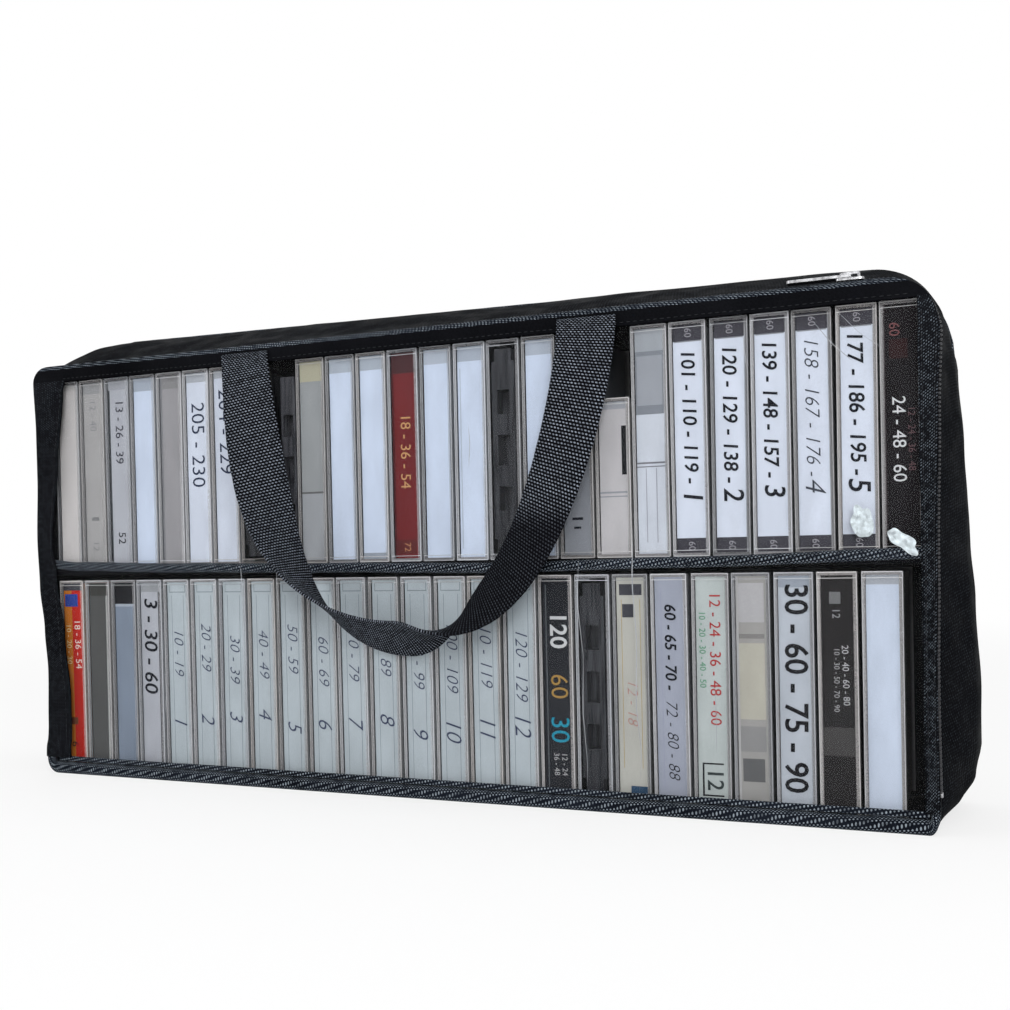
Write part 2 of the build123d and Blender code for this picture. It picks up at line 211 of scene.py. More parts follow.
class TAPEBAG_Stage(bpy.types.PropertyGroup):
    """The camera and the light."""

    azimuth: angle("Azimuth", "Camera's angle to the right of the front", 24.55)
    elevation: angle("Elevation", "Camera's angle above the floor", 0.82)
    roll: angle("Roll", "Camera's tilt", -1.31)
    distance: length("Distance", "Camera to the point it looks at", 652.1)
    target: FloatVectorProperty(
        name="Target", description="Point the camera looks at", subtype="TRANSLATION",
        default=(-0.0018, 0.0, 0.1188),
    )
    lens: number("Lens", "Focal length of the camera, in mm", 43.15, 5.0)
    shift: FloatVectorProperty(
        name="Shift", description="Shift of the frame, as a share of its width", size=2,
        default=(0.0594, 0.0594),
    )
    key_light: power("Key light", "Power of the main lamp", 21.0)
    fill_light: power("Fill light", "Power of the fill lamp", 5.0)
    top_light: power("Top light", "Power of the lamp overhead", 6.0)
    room_light: number("Room light", "Strength of the light all round", 0.62)


def bag():
    """The sizes of the bag in this scene."""
    return bpy.context.scene.tape_bag_sizes


def case():
    """The sizes of the cases in this scene."""
    return bpy.context.scene.tape_bag_cases


def hue(name):
    """A colour property, with alpha."""
    return (*getattr(bpy.context.scene.tape_bag_colours, name), 1.0)


def mm(value):
    """A size kept in metres, in millimetres."""
    return value / MM


def ramp(value, start, end):
    """0 up to start and 1 from end on, with a straight rise between."""
    return min(max((value - start) / (end - start), 0.0), 1.0)


def wobble(*place):
    """Smooth noise between about -1 and 1."""
    return noise.noise(Vector(place))


def blunt(value, power):
    """A sine or cosine, changed so that it draws a rounded square in place of a circle."""
    return copysign(abs(value) ** power, value)


def scaled(shade, by, more=0.0):
    """A lighter or a darker version of a colour, with alpha."""
    return (*(min(part * by + more, 1.0) for part in shade[:3]), 1.0)


# --- the bag's outline


def follow(table, at):
    """A smooth value between the (place, value) pairs of a table."""
    if at <= table[0][0]:
        return table[0][1]
    for (a, first), (b, second) in zip(table, table[1:]):
        if at <= b:
            t = (at - a) / (b - a)
            return first + (second - first) * t * t * (3 - 2 * t)
    return table[-1][1]


class Outline:
    """A rounded rectangle seen from the front, walked clockwise from the middle of its foot."""

    SHARES = (0.165, 0.03, 0.13, 0.045, 0.26, 0.045, 0.13, 0.03, 0.165)
    TIGHTEST = 0.4

    def __init__(self, y, inset=0.0):
        size = bag()
        share = ramp(y, SHELL_Y, PIPING_Y)
        crown = ramp(0.0, SHELL_Y, PIPING_Y)
        back, middle = mm(size.back_rise), mm(size.crown_rise)
        bend = (middle - crown * back) / (crown**2 - crown)
        rise = (back - bend) * share + bend * share**2
        self.x0, self.x1 = -HALF_WIDTH + inset, HALF_WIDTH - inset
        self.z0, self.z1 = inset, mm(size.height) + rise - inset
        front, foot = mm(size.front_round), mm(size.front_foot_round)
        rear_foot = foot + share * (mm(size.back_foot_round) - foot)
        left = front + share * (mm(size.back_round_left) - front)
        right = mm(size.front_round_right) * (1 - share) + mm(size.back_round_right) * share
        self.foot_r = max(rear_foot - inset, self.TIGHTEST)
        self.left_r = max(left - inset, self.TIGHTEST)
        self.right_r = max(right - inset, self.TIGHTEST)
        foot_half = self.x1 - self.foot_r
        self.lengths = (
            foot_half,
            self.foot_r * pi / 2,
            self.z1 - self.z0 - self.foot_r - self.left_r,
            self.left_r * pi / 2,
            self.x1 - self.x0 - self.left_r - self.right_r,
            self.right_r * pi / 2,
            self.z1 - self.z0 - self.foot_r - self.right_r,
            self.foot_r * pi / 2,
            foot_half,
        )
        self.whole = sum(self.lengths)

    def leg(self, number, t):
        """Place (x, z) and outward direction at share t of one straight or one corner."""
        foot, left, right = self.foot_r, self.left_r, self.right_r
        if number == 0:
            return (-self.lengths[0] * t, self.z0, 0.0, -1.0)
        if number == 2:
            return (self.x0, self.z0 + foot + self.lengths[2] * t, -1.0, 0.0)
        if number == 4:
            return (self.x0 + left + self.lengths[4] * t, self.z1, 0.0, 1.0)
        if number == 6:
            return (self.x1, self.z1 - right - self.lengths[6] * t, 1.0, 0.0)
        if number == 8:
            return (self.x1 - foot - self.lengths[8] * t, self.z0, 0.0, -1.0)
        middle_x, middle_z, radius, turn = {
            1: (self.x0 + foot, self.z0 + foot, foot, -pi / 2),
            3: (self.x0 + left, self.z1 - left, left, pi),
            5: (self.x1 - right, self.z1 - right, right, pi / 2),
            7: (self.x1 - foot, self.z0 + foot, foot, 0.0),
        }[number]
        angle = turn - t * pi / 2
        return (middle_x + radius * cos(angle), middle_z + radius * sin(angle), cos(angle), sin(angle))

    def at_share(self, u):
        """The point at share u of the way round, each leg with a share of its own."""
        for number, share in enumerate(self.SHARES):
            if u <= share or number == 8:
                return self.leg(number, min(max(u / share, 0.0), 1.0))
            u -= share

    def at_length(self, s):
        """The point at this distance along the outline."""
        for number, part in enumerate(self.lengths):
            if s <= part or number == 8:
                return self.leg(number, min(max(s / part, 0.0), 1.0))
            s -= part

    def zip_ends(self):
        """Distances along the outline between which the zip runs."""
        start = self.lengths[0] + self.lengths[1] + ZIP_END_Z - self.z0 - self.foot_r
        return start, self.whole - start

    def side_x(self, z, side):
        """How far out the outline is at height z, on the left (-1) or the right (1)."""
        radius = self.left_r if side < 0 else self.right_r
        edge = self.x0 if side < 0 else self.x1
        over = max(z - (self.z1 - radius), 0.0)
        under = max(self.z0 + self.foot_r - z, 0.0)
        back = radius - sqrt(max(radius**2 - over**2, 0.0))
        back += self.foot_r - sqrt(max(self.foot_r**2 - under**2, 0.0))
        return edge - side * back


HUMP_X = -219.0
HUMP_REACH = 15.0

# How far the front's left and right edges are drawn in at each height, and the right side's share of swell.
LEFT_EDGE = (
    (0.0, 3.4), (10.0, 3.0), (30.0, 4.4), (60.0, 5.2), (85.0, 3.4), (111.0, 0.6),
    (138.0, -0.4), (174.0, 0.9), (202.0, 0.8), (233.0, -0.4), (262.0, 0.0),
)
RIGHT_EDGE = ((0.0, 4.6), (60.0, 5.0), (120.0, 4.2), (180.0, 3.0), (225.0, 1.6), (240.0, 0.6))
RIGHT_SWELL = (
    (0.0, 0.05), (9.0, 0.34), (19.0, 0.70), (34.0, 0.91), (53.0, 0.93), (98.0, 0.74), (125.0, 0.66),
    (170.0, 0.50), (206.0, 0.30), (220.0, 0.06), (230.0, -0.08), (240.0, -0.16), (262.0, -0.16),
)


def settle(x, y, z):
    """Where a point of the fabric ends up: the front's edges draw in towards their foot, the loose right side
    swells, a small hump stands behind the zip's left end, and the back is a little higher at its left end."""
    share = ramp(y, SHELL_Y, BACK_Y)
    high = ramp(z, 190.0, 240.0)
    x += follow(LEFT_EDGE, z) * ramp(-x, 215.0, 250.0) * (1.0 - share) ** 0.7
    swell = sin(pi / 2 * min(share / 0.62, 1.0)) - 0.5 * max((share - 0.62) / 0.38, 0.0) ** 1.5
    x += mm(bag().side_swell) * follow(RIGHT_SWELL, z) * ramp(x, 205.0, 250.0) * swell
    x -= follow(RIGHT_EDGE, z) * ramp(x, 240.0, 249.0) * max(1.0 - share / 0.4, 0.0)
    hump = mm(bag().hump) * exp(-(((x - HUMP_X) / HUMP_REACH) ** 2))
    z += hump * (1.0 - share) * high * ramp(y, SLIDER_BACK, SHELL_Y)
    z -= mm(bag().lean) * x / HALF_WIDTH * share * high
    return Vector((x, y, z))


# --- making and finishing meshes


def sheet(bm, across, along, place, size=(1.0, 1.0)):
    """Adds a sheet of across by along faces to bm. place(u, v) bends it, and size is its true size."""
    made = bmesh.ops.create_grid(bm, x_segments=across, y_segments=along, size=0.5)
    uv = bm.loops.layers.uv.get(UV) or bm.loops.layers.uv.new(UV)
    faces = {face for vert in made["verts"] for face in vert.link_faces}
    for face in faces:
        for loop in face.loops:
            u, v = loop.vert.co.x + 0.5, loop.vert.co.y + 0.5
            loop[uv].uv = (u * size[0] * MM, v * size[1] * MM)
    for vert in made["verts"]:
        vert.co = place(vert.co.x + 0.5, vert.co.y + 0.5)
    return faces


# A point far behind the bag, from which the faces of its front look away.
BEHIND = (0.0, 500.0, 120.0)


def face_away(bm, faces, inside):
    """Turns faces so that they look away from the point inside."""
    inside = Vector(inside)
    for face in faces:
        face.normal_update()
    if sum(f.normal.dot(f.calc_center_median() - inside) * f.calc_area() for f in faces) < 0:
        bmesh.ops.reverse_faces(bm, faces=list(faces))


def paint(bm, faces, tint):
    """Gives faces a colour of their own, which their material reads. A fourth number is how solid they are."""
    layer = bm.loops.layers.float_color.get(TINT) or bm.loops.layers.float_color.new(TINT)
    solid = tint[3] if len(tint) > 3 else 1.0
    for face in faces:
        for loop in face.loops:
            loop[layer] = (*tint[:3], solid)


def shade(bm, faces, tint):
    """Multiplies the colour that faces already have."""
    layer = bm.loops.layers.float_color.get(TINT)
    for face in faces:
        for loop in face.loops:
            old = loop[layer]
            loop[layer] = (old[0] * tint[0], old[1] * tint[1], old[2] * tint[2], old[3])


def block(bm, low, high, round_by=0.0, segments=2):
    """Adds a box between two corners, with its edges rounded, and gives its faces."""
    size = [b - a for a, b in zip(low, high)]
    middle = [(a + b) / 2 for a, b in zip(low, high)]
    matrix = Matrix.Translation(middle) @ Matrix.Diagonal((*size, 1.0))
    known = set(bm.faces)
    verts = bmesh.ops.create_cube(bm, size=1.0, matrix=matrix)["verts"]
    if round_by:
        edges = list({edge for vert in verts for edge in vert.link_edges})
        bmesh.ops.bevel(
            bm, geom=edges, offset=round_by, segments=segments, profile=0.5, affect="EDGES", material=-1
        )
    return [face for face in bm.faces if face not in known]


def stamp(bm, template, matrix, tint=None, colouring=paint):
    """Adds a copy of a small mesh to bm at a place."""
    verts, faces = len(bm.verts), len(bm.faces)
    bm.from_mesh(template)
    bm.verts.ensure_lookup_table()
    bmesh.ops.transform(bm, matrix=matrix, verts=bm.verts[verts:])
    if tint is not None:
        bm.faces.ensure_lookup_table()
        colouring(bm, bm.faces[faces:], tint)


def template(bm):
    """A mesh to stamp, from a bmesh in millimetres."""
    mesh = bpy.data.meshes.new("template")
    bm.to_mesh(mesh)
    bm.free()
    return mesh


def add_piece(name, bm, body, materials, replaces=(), smooth=True):
    """Makes a bmesh in millimetres a piece in metres that rides on a body."""
    bmesh.ops.scale(bm, vec=(MM, MM, MM), verts=bm.verts)
    mesh = bpy.data.meshes.new(name)
    bm.to_mesh(mesh)
    bm.free()
    for material in materials:
        mesh.materials.append(material)
    mesh.polygons.foreach_set("use_smooth", [smooth] * len(mesh.polygons))
    piece = bpy.data.objects.new(name, mesh)
    bpy.context.scene.collection.objects.link(piece)
    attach(piece, body)
    if replaces:
        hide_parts(*replaces)
    return piece


def thicken(piece, thickness):
    """Gives a sheet its thickness, behind its faces."""
    wall = piece.modifiers.new("Thickness", "SOLIDIFY")
    wall.thickness = thickness * MM
    wall.offset = -1.0


def soften(piece, width, angle):
    """Rounds a piece's sharp edges."""
    rounding = piece.modifiers.new("Rounding", "BEVEL")
    rounding.width = width * MM
    rounding.segments = 2
    rounding.limit_method = "ANGLE"
    rounding.angle_limit = radians(angle)


def close_tube(bm):
    """Joins the long seam of a sheet that is bent to a tube, and closes its ends."""
    bmesh.ops.remove_doubles(bm, verts=bm.verts, dist=0.01)
    bmesh.ops.holes_fill(bm, edges=[edge for edge in bm.edges if edge.is_boundary], sides=100)
    bmesh.ops.recalc_face_normals(bm, faces=bm.faces)


def open_box(low, high, wall, is_open):
    """A bmesh box whose open sides are taken off and whose other sides have a thickness."""
    bm = bmesh.new()
    block(bm, low, high)
    for face in list(bm.faces):
        if is_open(face.normal):
            bm.faces.remove(face)
    for edge in [edge for edge in bm.edges if not edge.link_faces]:
        bm.edges.remove(edge)
    bmesh.ops.solidify(bm, geom=list(bm.faces), thickness=wall)
    return bm


def cut_across(bm, axis, places):
    """Cuts new edges into a bmesh at places along an axis."""
    across = Vector([float(n == axis) for n in range(3)])
    for place in places:
        geom = [*bm.verts, *bm.edges, *bm.faces]
        bmesh.ops.bisect_plane(bm, geom=geom, plane_co=across * place, plane_no=across)


def cover(node, material):
    """Gives a CAD node its finish."""
    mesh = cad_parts[node].data
    mesh.materials.clear()
    mesh.materials.append(material)


def turned(at, along, out):
    """A matrix that puts X along one direction and Z out along another, at a place."""
    along = Vector(along).normalized()
    out = Vector(out)
    out = (out - along * out.dot(along)).normalized()
    side = out.cross(along)
    matrix = Matrix((along, side, out)).transposed().to_4x4()
    return Matrix.Translation(at) @ matrix


def stitch_mesh():
    """One stitch of sewing thread, 1 mm long."""
    bm = bmesh.new()
    bmesh.ops.create_icosphere(bm, subdivisions=1, radius=0.5)
    bmesh.ops.scale(bm, vec=(1.0, 0.42, 0.34), verts=bm.verts)
    return template(bm)


def stitches(bm, stitch, line, out, size=2.3, gap=0.9):
    """Sews a row of stitches along a line of points. out(point) is the way they face."""
    carry = 0.0
    for a, b in zip(line, line[1:]):
        a, b = Vector(a), Vector(b)
        run = (b - a).length
        place = carry
        while place < run:
            middle = a.lerp(b, place / run)
            matrix = turned(middle, b - a, out(middle)) @ Matrix.Diagonal((size, 0.9, 0.9, 1.0))
            stamp(bm, stitch, matrix)
            place += size + gap
        carry = place - run


def number_tile(bm, text, height, at, tint, tilt=0.0, weight=0.0, slant=0.0):
    """Writes a plain number down a spine, facing the window. weight below 0 thins its strokes."""
    curve = bpy.data.curves.new("number", "FONT")
    curve.body = text
    curve.size = height * 1.4
    curve.align_x, curve.align_y = "CENTER", "CENTER"
    curve.resolution_u = 3
    curve.offset = weight
    curve.shear = slant
    holder = bpy.data.objects.new("number", curve)
    bpy.context.scene.collection.objects.link(holder)
    bpy.context.view_layer.update()
    mesh = bpy.data.meshes.new_from_object(holder)
    matrix = Matrix.Translation(at) @ Matrix.Rotation(pi / 2, 4, "X") @ Matrix.Rotation(tilt - pi / 2, 4, "Z")
    stamp(bm, mesh, matrix, tint)
    bpy.data.objects.remove(holder)
    bpy.data.curves.remove(curve)
    bpy.data.meshes.remove(mesh)


# --- finishes


class Nodes:
    """Short ways to add and link the nodes of a material or of the world."""

    def __init__(self, tree):
        self.tree = tree

    def put(self, socket, value):
        """Links value to a socket, or sets it there."""
        if isinstance(value, bpy.types.NodeSocket):
            self.tree.links.new(value, socket)
        else:
            socket.default_value = value

    def node(self, kind, inputs=(), **settings):
        made = self.tree.nodes.new("ShaderNode" + kind)
        for key, value in settings.items():
            setattr(made, key, value)
        for key, value in dict(inputs).items():
            self.put(made.inputs[key], value)
        return made

    def math(self, operation, *values):
        return self.node("Math", enumerate(values), operation=operation).outputs[0]

    def between(self, value, low, high, to_low=0.0, to_high=1.0):
        """Spreads value from low..high over to_low..to_high, with soft ends."""
        inputs = {"Value": value, "From Min": low, "From Max": high, "To Min": to_low, "To Max": to_high}
        return self.node("MapRange", inputs, interpolation_type="SMOOTHSTEP").outputs[0]

    def seen(self):
        """1 where the camera, metal or glass looks, and 0 for the light that falls on things."""
        rays = self.node("LightPath").outputs
        either = self.math("MAXIMUM", rays["Is Camera Ray"], rays["Is Glossy Ray"])
        return self.math("MAXIMUM", either, rays["Is Transmission Ray"])


class Finish(Nodes):
    """A procedural material on the Principled shader."""

    def __init__(self, name, **values):
        self.material = bpy.data.materials.new(name)
        self.material.use_nodes = True
        super().__init__(self.material.node_tree)
        self.shader = self.tree.nodes["Principled BSDF"]
        self.output = self.tree.nodes["Material Output"]
        for socket, value in values.items():
            self.shader.inputs[socket.replace("_", " ")].default_value = value

    def surface(self):
        """The piece's own map, in metres."""
        return self.node("UVMap", uv_map=UV).outputs["UV"]

    def place(self):
        """Object coordinates, in metres."""
        return self.node("TexCoord").outputs["Object"]

    def noise(self, vector, scale, detail=2.0, roughness=0.5):
        inputs = {"Vector": vector, "Scale": scale, "Detail": detail, "Roughness": roughness}
        return self.node("TexNoise", inputs).outputs[0]

    def stretched(self, vector, scale):
        return self.node("Mapping", {"Vector": vector, "Scale": scale}).outputs[0]

    def slanted(self, vector, degrees):
        return self.node("Mapping", {"Vector": vector, "Rotation": (0.0, 0.0, radians(degrees))}).outputs[0]

    def mix(self, share, first, second, blend="MIX"):
        inputs = {0: share, 6: first, 7: second}
        return self.node("Mix", inputs, data_type="RGBA", blend_type=blend).outputs[2]

    def bump(self, height, distance, strength=1.0):
        inputs = {"Height": height, "Distance": distance, "Strength": strength}
        self.put(self.shader.inputs["Normal"], self.node("Bump", inputs).outputs[0])

    def base(self, value):
        self.put(self.shader.inputs["Base Color"], value)

    def rough(self, value):
        self.put(self.shader.inputs["Roughness"], value)

    def shine_through(self, surface):
        """Shows a mixed shader in place of the Principled one."""
        self.put(self.output.inputs["Surface"], surface)

    def blend(self, share, first, second):
        """A shader between two others."""
        return self.node("MixShader", {0: share, 1: first, 2: second}).outputs[0]

    def see_through(self, tint):
        return self.node("BsdfTransparent", {"Color": tint}).outputs[0]

    def ruffled(self, vector, size, amount):
        """The map with small uneven shifts over size, both in millimetres, so that a weave isn't ruled."""
        inputs = {"Vector": vector, "Scale": 1.0 / (size * MM), "Detail": 1.0}
        waves = self.node("TexNoise", inputs).outputs["Color"]
        centred = self.node("VectorMath", {0: waves, 1: (0.5, 0.5, 0.5)}, operation="SUBTRACT").outputs[0]
        shift = self.node("VectorMath", {0: centred, "Scale": amount * MM}, operation="SCALE").outputs[0]
        return self.node("VectorMath", {0: vector, 1: shift}, operation="ADD").outputs[0]

    def dots(self, vector, pitch, row, half_width, half_height, slant=0.0):
        """A mask of staggered dots. All sizes are in millimetres."""
        parts = self.node("SeparateXYZ", {0: vector}).outputs
        line = self.math("DIVIDE", parts[1], row * MM)
        odd = self.math("FLOORED_MODULO", self.math("FLOOR", line), 2.0)
        place = self.math("ADD", self.math("DIVIDE", parts[0], pitch * MM), self.math("MULTIPLY", odd, 0.5))
        dv = self.math("MULTIPLY", self.math("SUBTRACT", self.math("FRACT", line), 0.5), row)
        du = self.math("MULTIPLY", self.math("SUBTRACT", self.math("FRACT", place), 0.5), pitch)
        du = self.math("MULTIPLY_ADD", dv, slant, du)
        du = self.math("POWER", self.math("ABSOLUTE", self.math("DIVIDE", du, half_width)), 2.0)
        dv = self.math("POWER", self.math("ABSOLUTE", self.math("DIVIDE", dv, half_height)), 2.0)
        return self.between(self.math("ADD", du, dv), 1.4, 0.5)

    def diamonds(self, vector, pitch):
        """A mask of small diamonds, pressed into the fabric. pitch is in millimetres."""
        parts = self.node("SeparateXYZ", {0: vector}).outputs
        turn = 2 * pi / (pitch * MM)
        one = self.math("SINE", self.math("MULTIPLY", self.math("ADD", parts[0], parts[1]), turn / 2))
        two = self.math("SINE", self.math("MULTIPLY", self.math("SUBTRACT", parts[0], parts[1]), turn / 2))
        return self.math("MULTIPLY_ADD", self.math("MULTIPLY", one, two), 0.5, 0.5)


def dusty(finish, shade, amount=0.6):
    """Colour of a dark cloth that varies over a few centimetres and from thread to thread."""
    broad = finish.noise(finish.place(), 16.0, 3.0)
    fine = finish.noise(finish.place(), 1400.0, 2.0)
    worn = finish.math("MULTIPLY_ADD", fine, 0.5, finish.math("MULTIPLY", broad, 0.8))
    worn = finish.between(worn, 0.35, 0.95)
    return finish.mix(worn, scaled(shade, 0.55), scaled(shade, 1.3 + amount, 0.0004))


def embossed_fabric(name, shade, flecks=None, fleck_share=1.0):
    """Laminated nonwoven fabric with small pressed diamonds, and pale flecks where it is the dotted kind."""
    finish = Finish(name, Roughness=0.8, IOR=1.06)
    uv = finish.surface()
    pressed = finish.diamonds(uv, 2.0)
    look = dusty(finish, shade)
    look = finish.mix(finish.math("MULTIPLY", pressed, 0.25), look, scaled(shade, 1.8))
    height = pressed
    if flecks:
        weave = finish.slanted(uv, 33)
        mask = finish.dots(finish.ruffled(weave, 2.6, 0.9), 1.55, 1.15, 0.5, 0.26, 0.3)
        patchy = finish.between(finish.noise(finish.place(), 520.0, 2.0), 0.38, 0.66, 0.06, fleck_share)
        mask = finish.math("MULTIPLY", mask, patchy)
        look = finish.mix(mask, look, flecks)
        height = finish.math("ADD", pressed, mask)
    finish.base(look)
    finish.rough(finish.between(finish.noise(finish.place(), 60.0), 0.3, 0.7, 0.55, 0.85))
    finish.bump(height, 0.00013)
    return finish.material


def rolled_binding():
    """Rolled binding of the hem and the shelf: navy-black cloth with a fine dotted weave."""
    finish = Finish("rolled_binding", Roughness=0.75, IOR=1.06)
    uv = finish.slanted(finish.surface(), 7)
    mask = finish.dots(finish.ruffled(uv, 5.0, 0.3), 1.7, 1.08, 0.42, 0.3, 0.0)
    patchy = finish.between(finish.noise(finish.place(), 300.0, 3.0), 0.3, 0.6, 0.25, 1.0)
    mask = finish.math("MULTIPLY", mask, patchy)
    cloth = dusty(finish, hue("binding"), 0.9)
    finish.base(finish.mix(mask, cloth, hue("binding_fleck")))
    finish.bump(finish.math("ADD", mask, finish.diamonds(uv, 1.1)), 0.00014)
    return finish.material


def zip_tape_cloth():
    """Woven zip tape, ribbed across its length."""
    finish = Finish("zip_tape_cloth", Roughness=0.8, IOR=1.06)
    parts = finish.node("SeparateXYZ", {0: finish.surface()}).outputs
    ribs = finish.math("SINE", finish.math("MULTIPLY", parts[0], 2 * pi / 0.0009))
    pale = (0.0055, 0.0055, 0.0065, 1.0)
    finish.base(finish.mix(finish.between(ribs, -1.0, 1.0), dusty(finish, hue("tape")), pale))
    finish.bump(ribs, 0.0001)
    return finish.material


def coil_plastic():
    """Moulded coil of the zip, with a dull gloss."""
    finish = Finish("coil_plastic", Roughness=0.4, Specular_IOR_Level=0.3)
    grain = finish.noise(finish.place(), 500.0, 2.0)
    shade = hue("teeth")
    finish.base(finish.mix(finish.between(grain, 0.3, 0.7), scaled(shade, 0.5), shade))
    finish.rough(finish.between(grain, 0.3, 0.7, 0.28, 0.5))
    return finish.material


def nickel():
    """Bright nickel plate, rubbed along its length."""
    finish = Finish("nickel_plate", Metallic=1.0, Roughness=0.25)
    streaks = finish.noise(finish.stretched(finish.place(), (300.0, 4000.0, 4000.0)), 1.0, 3.0)
    wear = finish.noise(finish.place(), 400.0, 3.0)
    finish.base(finish.mix(finish.between(wear, 0.35, 0.7), hue("metal"), (0.24, 0.24, 0.25, 1.0)))
    finish.rough(finish.between(streaks, 0.3, 0.7, 0.2, 0.45))
    finish.bump(streaks, 0.00003)
    return finish.material


def dotted_webbing():
    """Black webbing with staggered rows of short pale dashes, and painted shade on the lower part of each
    handle's right leg.
    """
    finish = Finish("dotted_webbing", Roughness=0.8, IOR=1.06)
    uv = finish.surface()
    dash = finish.dots(finish.ruffled(uv, 3.0, 0.35), 1.9, 1.45, 0.62, 0.36, 0.45)
    patchy = finish.between(finish.noise(finish.place(), 420.0, 2.0), 0.3, 0.62, 0.4, 1.0)
    # Painted shade: the dashes and ribs are darkened on the right leg below about 14 cm, where the twisted
    # strap faces away from the light.
    parts = finish.node("SeparateXYZ", {0: finish.place()}).outputs
    beside = finish.between(parts[0], 0.012, 0.03)
    painted_shade = finish.math("MULTIPLY", beside, finish.between(parts[2], 0.152, 0.136))
    dash = finish.math("MULTIPLY", dash, finish.math("MULTIPLY_ADD", painted_shade, -0.86, 1.0))
    mask = finish.math("MULTIPLY", dash, patchy)
    ribs = finish.dots(uv, 0.95, 1.45, 0.42, 0.6, 0.45)
    ribs = finish.math("MULTIPLY", ribs, finish.math("MULTIPLY_ADD", painted_shade, -0.7, 1.0))
    ground = finish.mix(ribs, hue("webbing"), scaled(hue("webbing"), 1.8))
    finish.base(finish.mix(mask, ground, hue("webbing_dot")))
    finish.bump(finish.math("ADD", ribs, dash), 0.00022)
    return finish.material


def thread_cotton():
    """Dark sewing thread with a twist."""
    finish = Finish("sewing_thread", Roughness=0.7, Specular_IOR_Level=0.15)
    twist = finish.noise(finish.place(), 1800.0, 1.0)
    shade = hue("thread")
    finish.base(finish.mix(twist, scaled(shade, 0.4), scaled(shade, 1.5)))
    return finish.material


def clear_plastic(name, tint, haze, haze_colour, roughness, bump_scale, bump_distance, shine):
    """A clear sheet or wall: it lets light through, mirrors a little, more at a slant, and has a faint haze."""
    finish = Finish(name, Roughness=0.35, Base_Color=haze_colour)
    place = finish.place()
    scuffs = finish.noise(finish.stretched(place, (1.0, 1.0, 0.25)), bump_scale, 4.0, 0.6)
    normal = finish.node("Bump", {"Height": scuffs, "Distance": bump_distance}).outputs[0]
    amount = finish.between(scuffs, 0.3, 0.75, haze * 0.4, haze * 1.8)
    cloudy = finish.blend(amount, finish.see_through(tint), finish.shader.outputs[0])
    gloss = finish.node("BsdfGlossy", {"Roughness": roughness, "Normal": normal}).outputs[0]
    slant = finish.node("LayerWeight", {"Blend": 0.5, "Normal": normal}).outputs["Facing"]
    shiny = finish.math("MULTIPLY_ADD", finish.math("POWER", slant, 5.0), 0.4, shine)
    finish.shine_through(finish.blend(shiny, cloudy, gloss))
    return finish.material


def tinted(name, roughness, speck, thin=0.0, gloss=1.14):
    """Paper or plastic whose colour is painted on the piece, with faint specks and rubbing."""
    finish = Finish(name, Roughness=roughness, IOR=gloss)
    painted = finish.node("Attribute", attribute_name=TINT).outputs
    broad = finish.noise(finish.stretched(finish.place(), (1.0, 1.0, 0.35)), 90.0, 3.0)
    fine = finish.noise(finish.place(), 1500.0, 2.0)
    uneven = finish.math("MULTIPLY_ADD", broad, 0.8, finish.math("MULTIPLY", fine, 0.4))
    shade = finish.between(uneven, 0.3, 0.9)
    low, high = 1.0 - speck, min(1.0 + speck * 0.6, 1.2)
    rubbed = finish.mix(shade, (low, low, low, 1.0), (high, high, high, 1.0))
    finish.base(finish.mix(1.0, painted["Color"], rubbed, "MULTIPLY"))
    finish.bump(fine, 0.00004)
    if thin:
        clear = finish.see_through((0.95, 0.97, 0.98, 1.0))
        solid = finish.between(broad, 0.3, 0.7, 1.12 - thin, 0.85 - thin)
        solid = finish.math("MULTIPLY", painted["Alpha"], solid)
        finish.shine_through(finish.blend(solid, clear, finish.shader.outputs[0]))
    return finish.material


def moulded(name, shade, roughness=0.32, speck=0.3):
    """Moulded plastic with fine grain and light scuffs."""
    finish = Finish(name, Roughness=roughness, IOR=1.25)
    grain = finish.noise(finish.place(), 700.0, 3.0)
    scuffs = finish.noise(finish.stretched(finish.place(), (500.0, 500.0, 40.0)), 1.0, 2.0)
    worn = finish.between(scuffs, 0.35, 0.7)
    finish.base(finish.mix(worn, scaled(shade, 1 - speck), scaled(shade, 1 + speck, 0.01)))
    finish.rough(finish.between(scuffs, 0.3, 0.7, roughness * 0.7, roughness * 1.5))
    finish.bump(grain, 0.00005)
    return finish.material


# --- the pieces of the bag


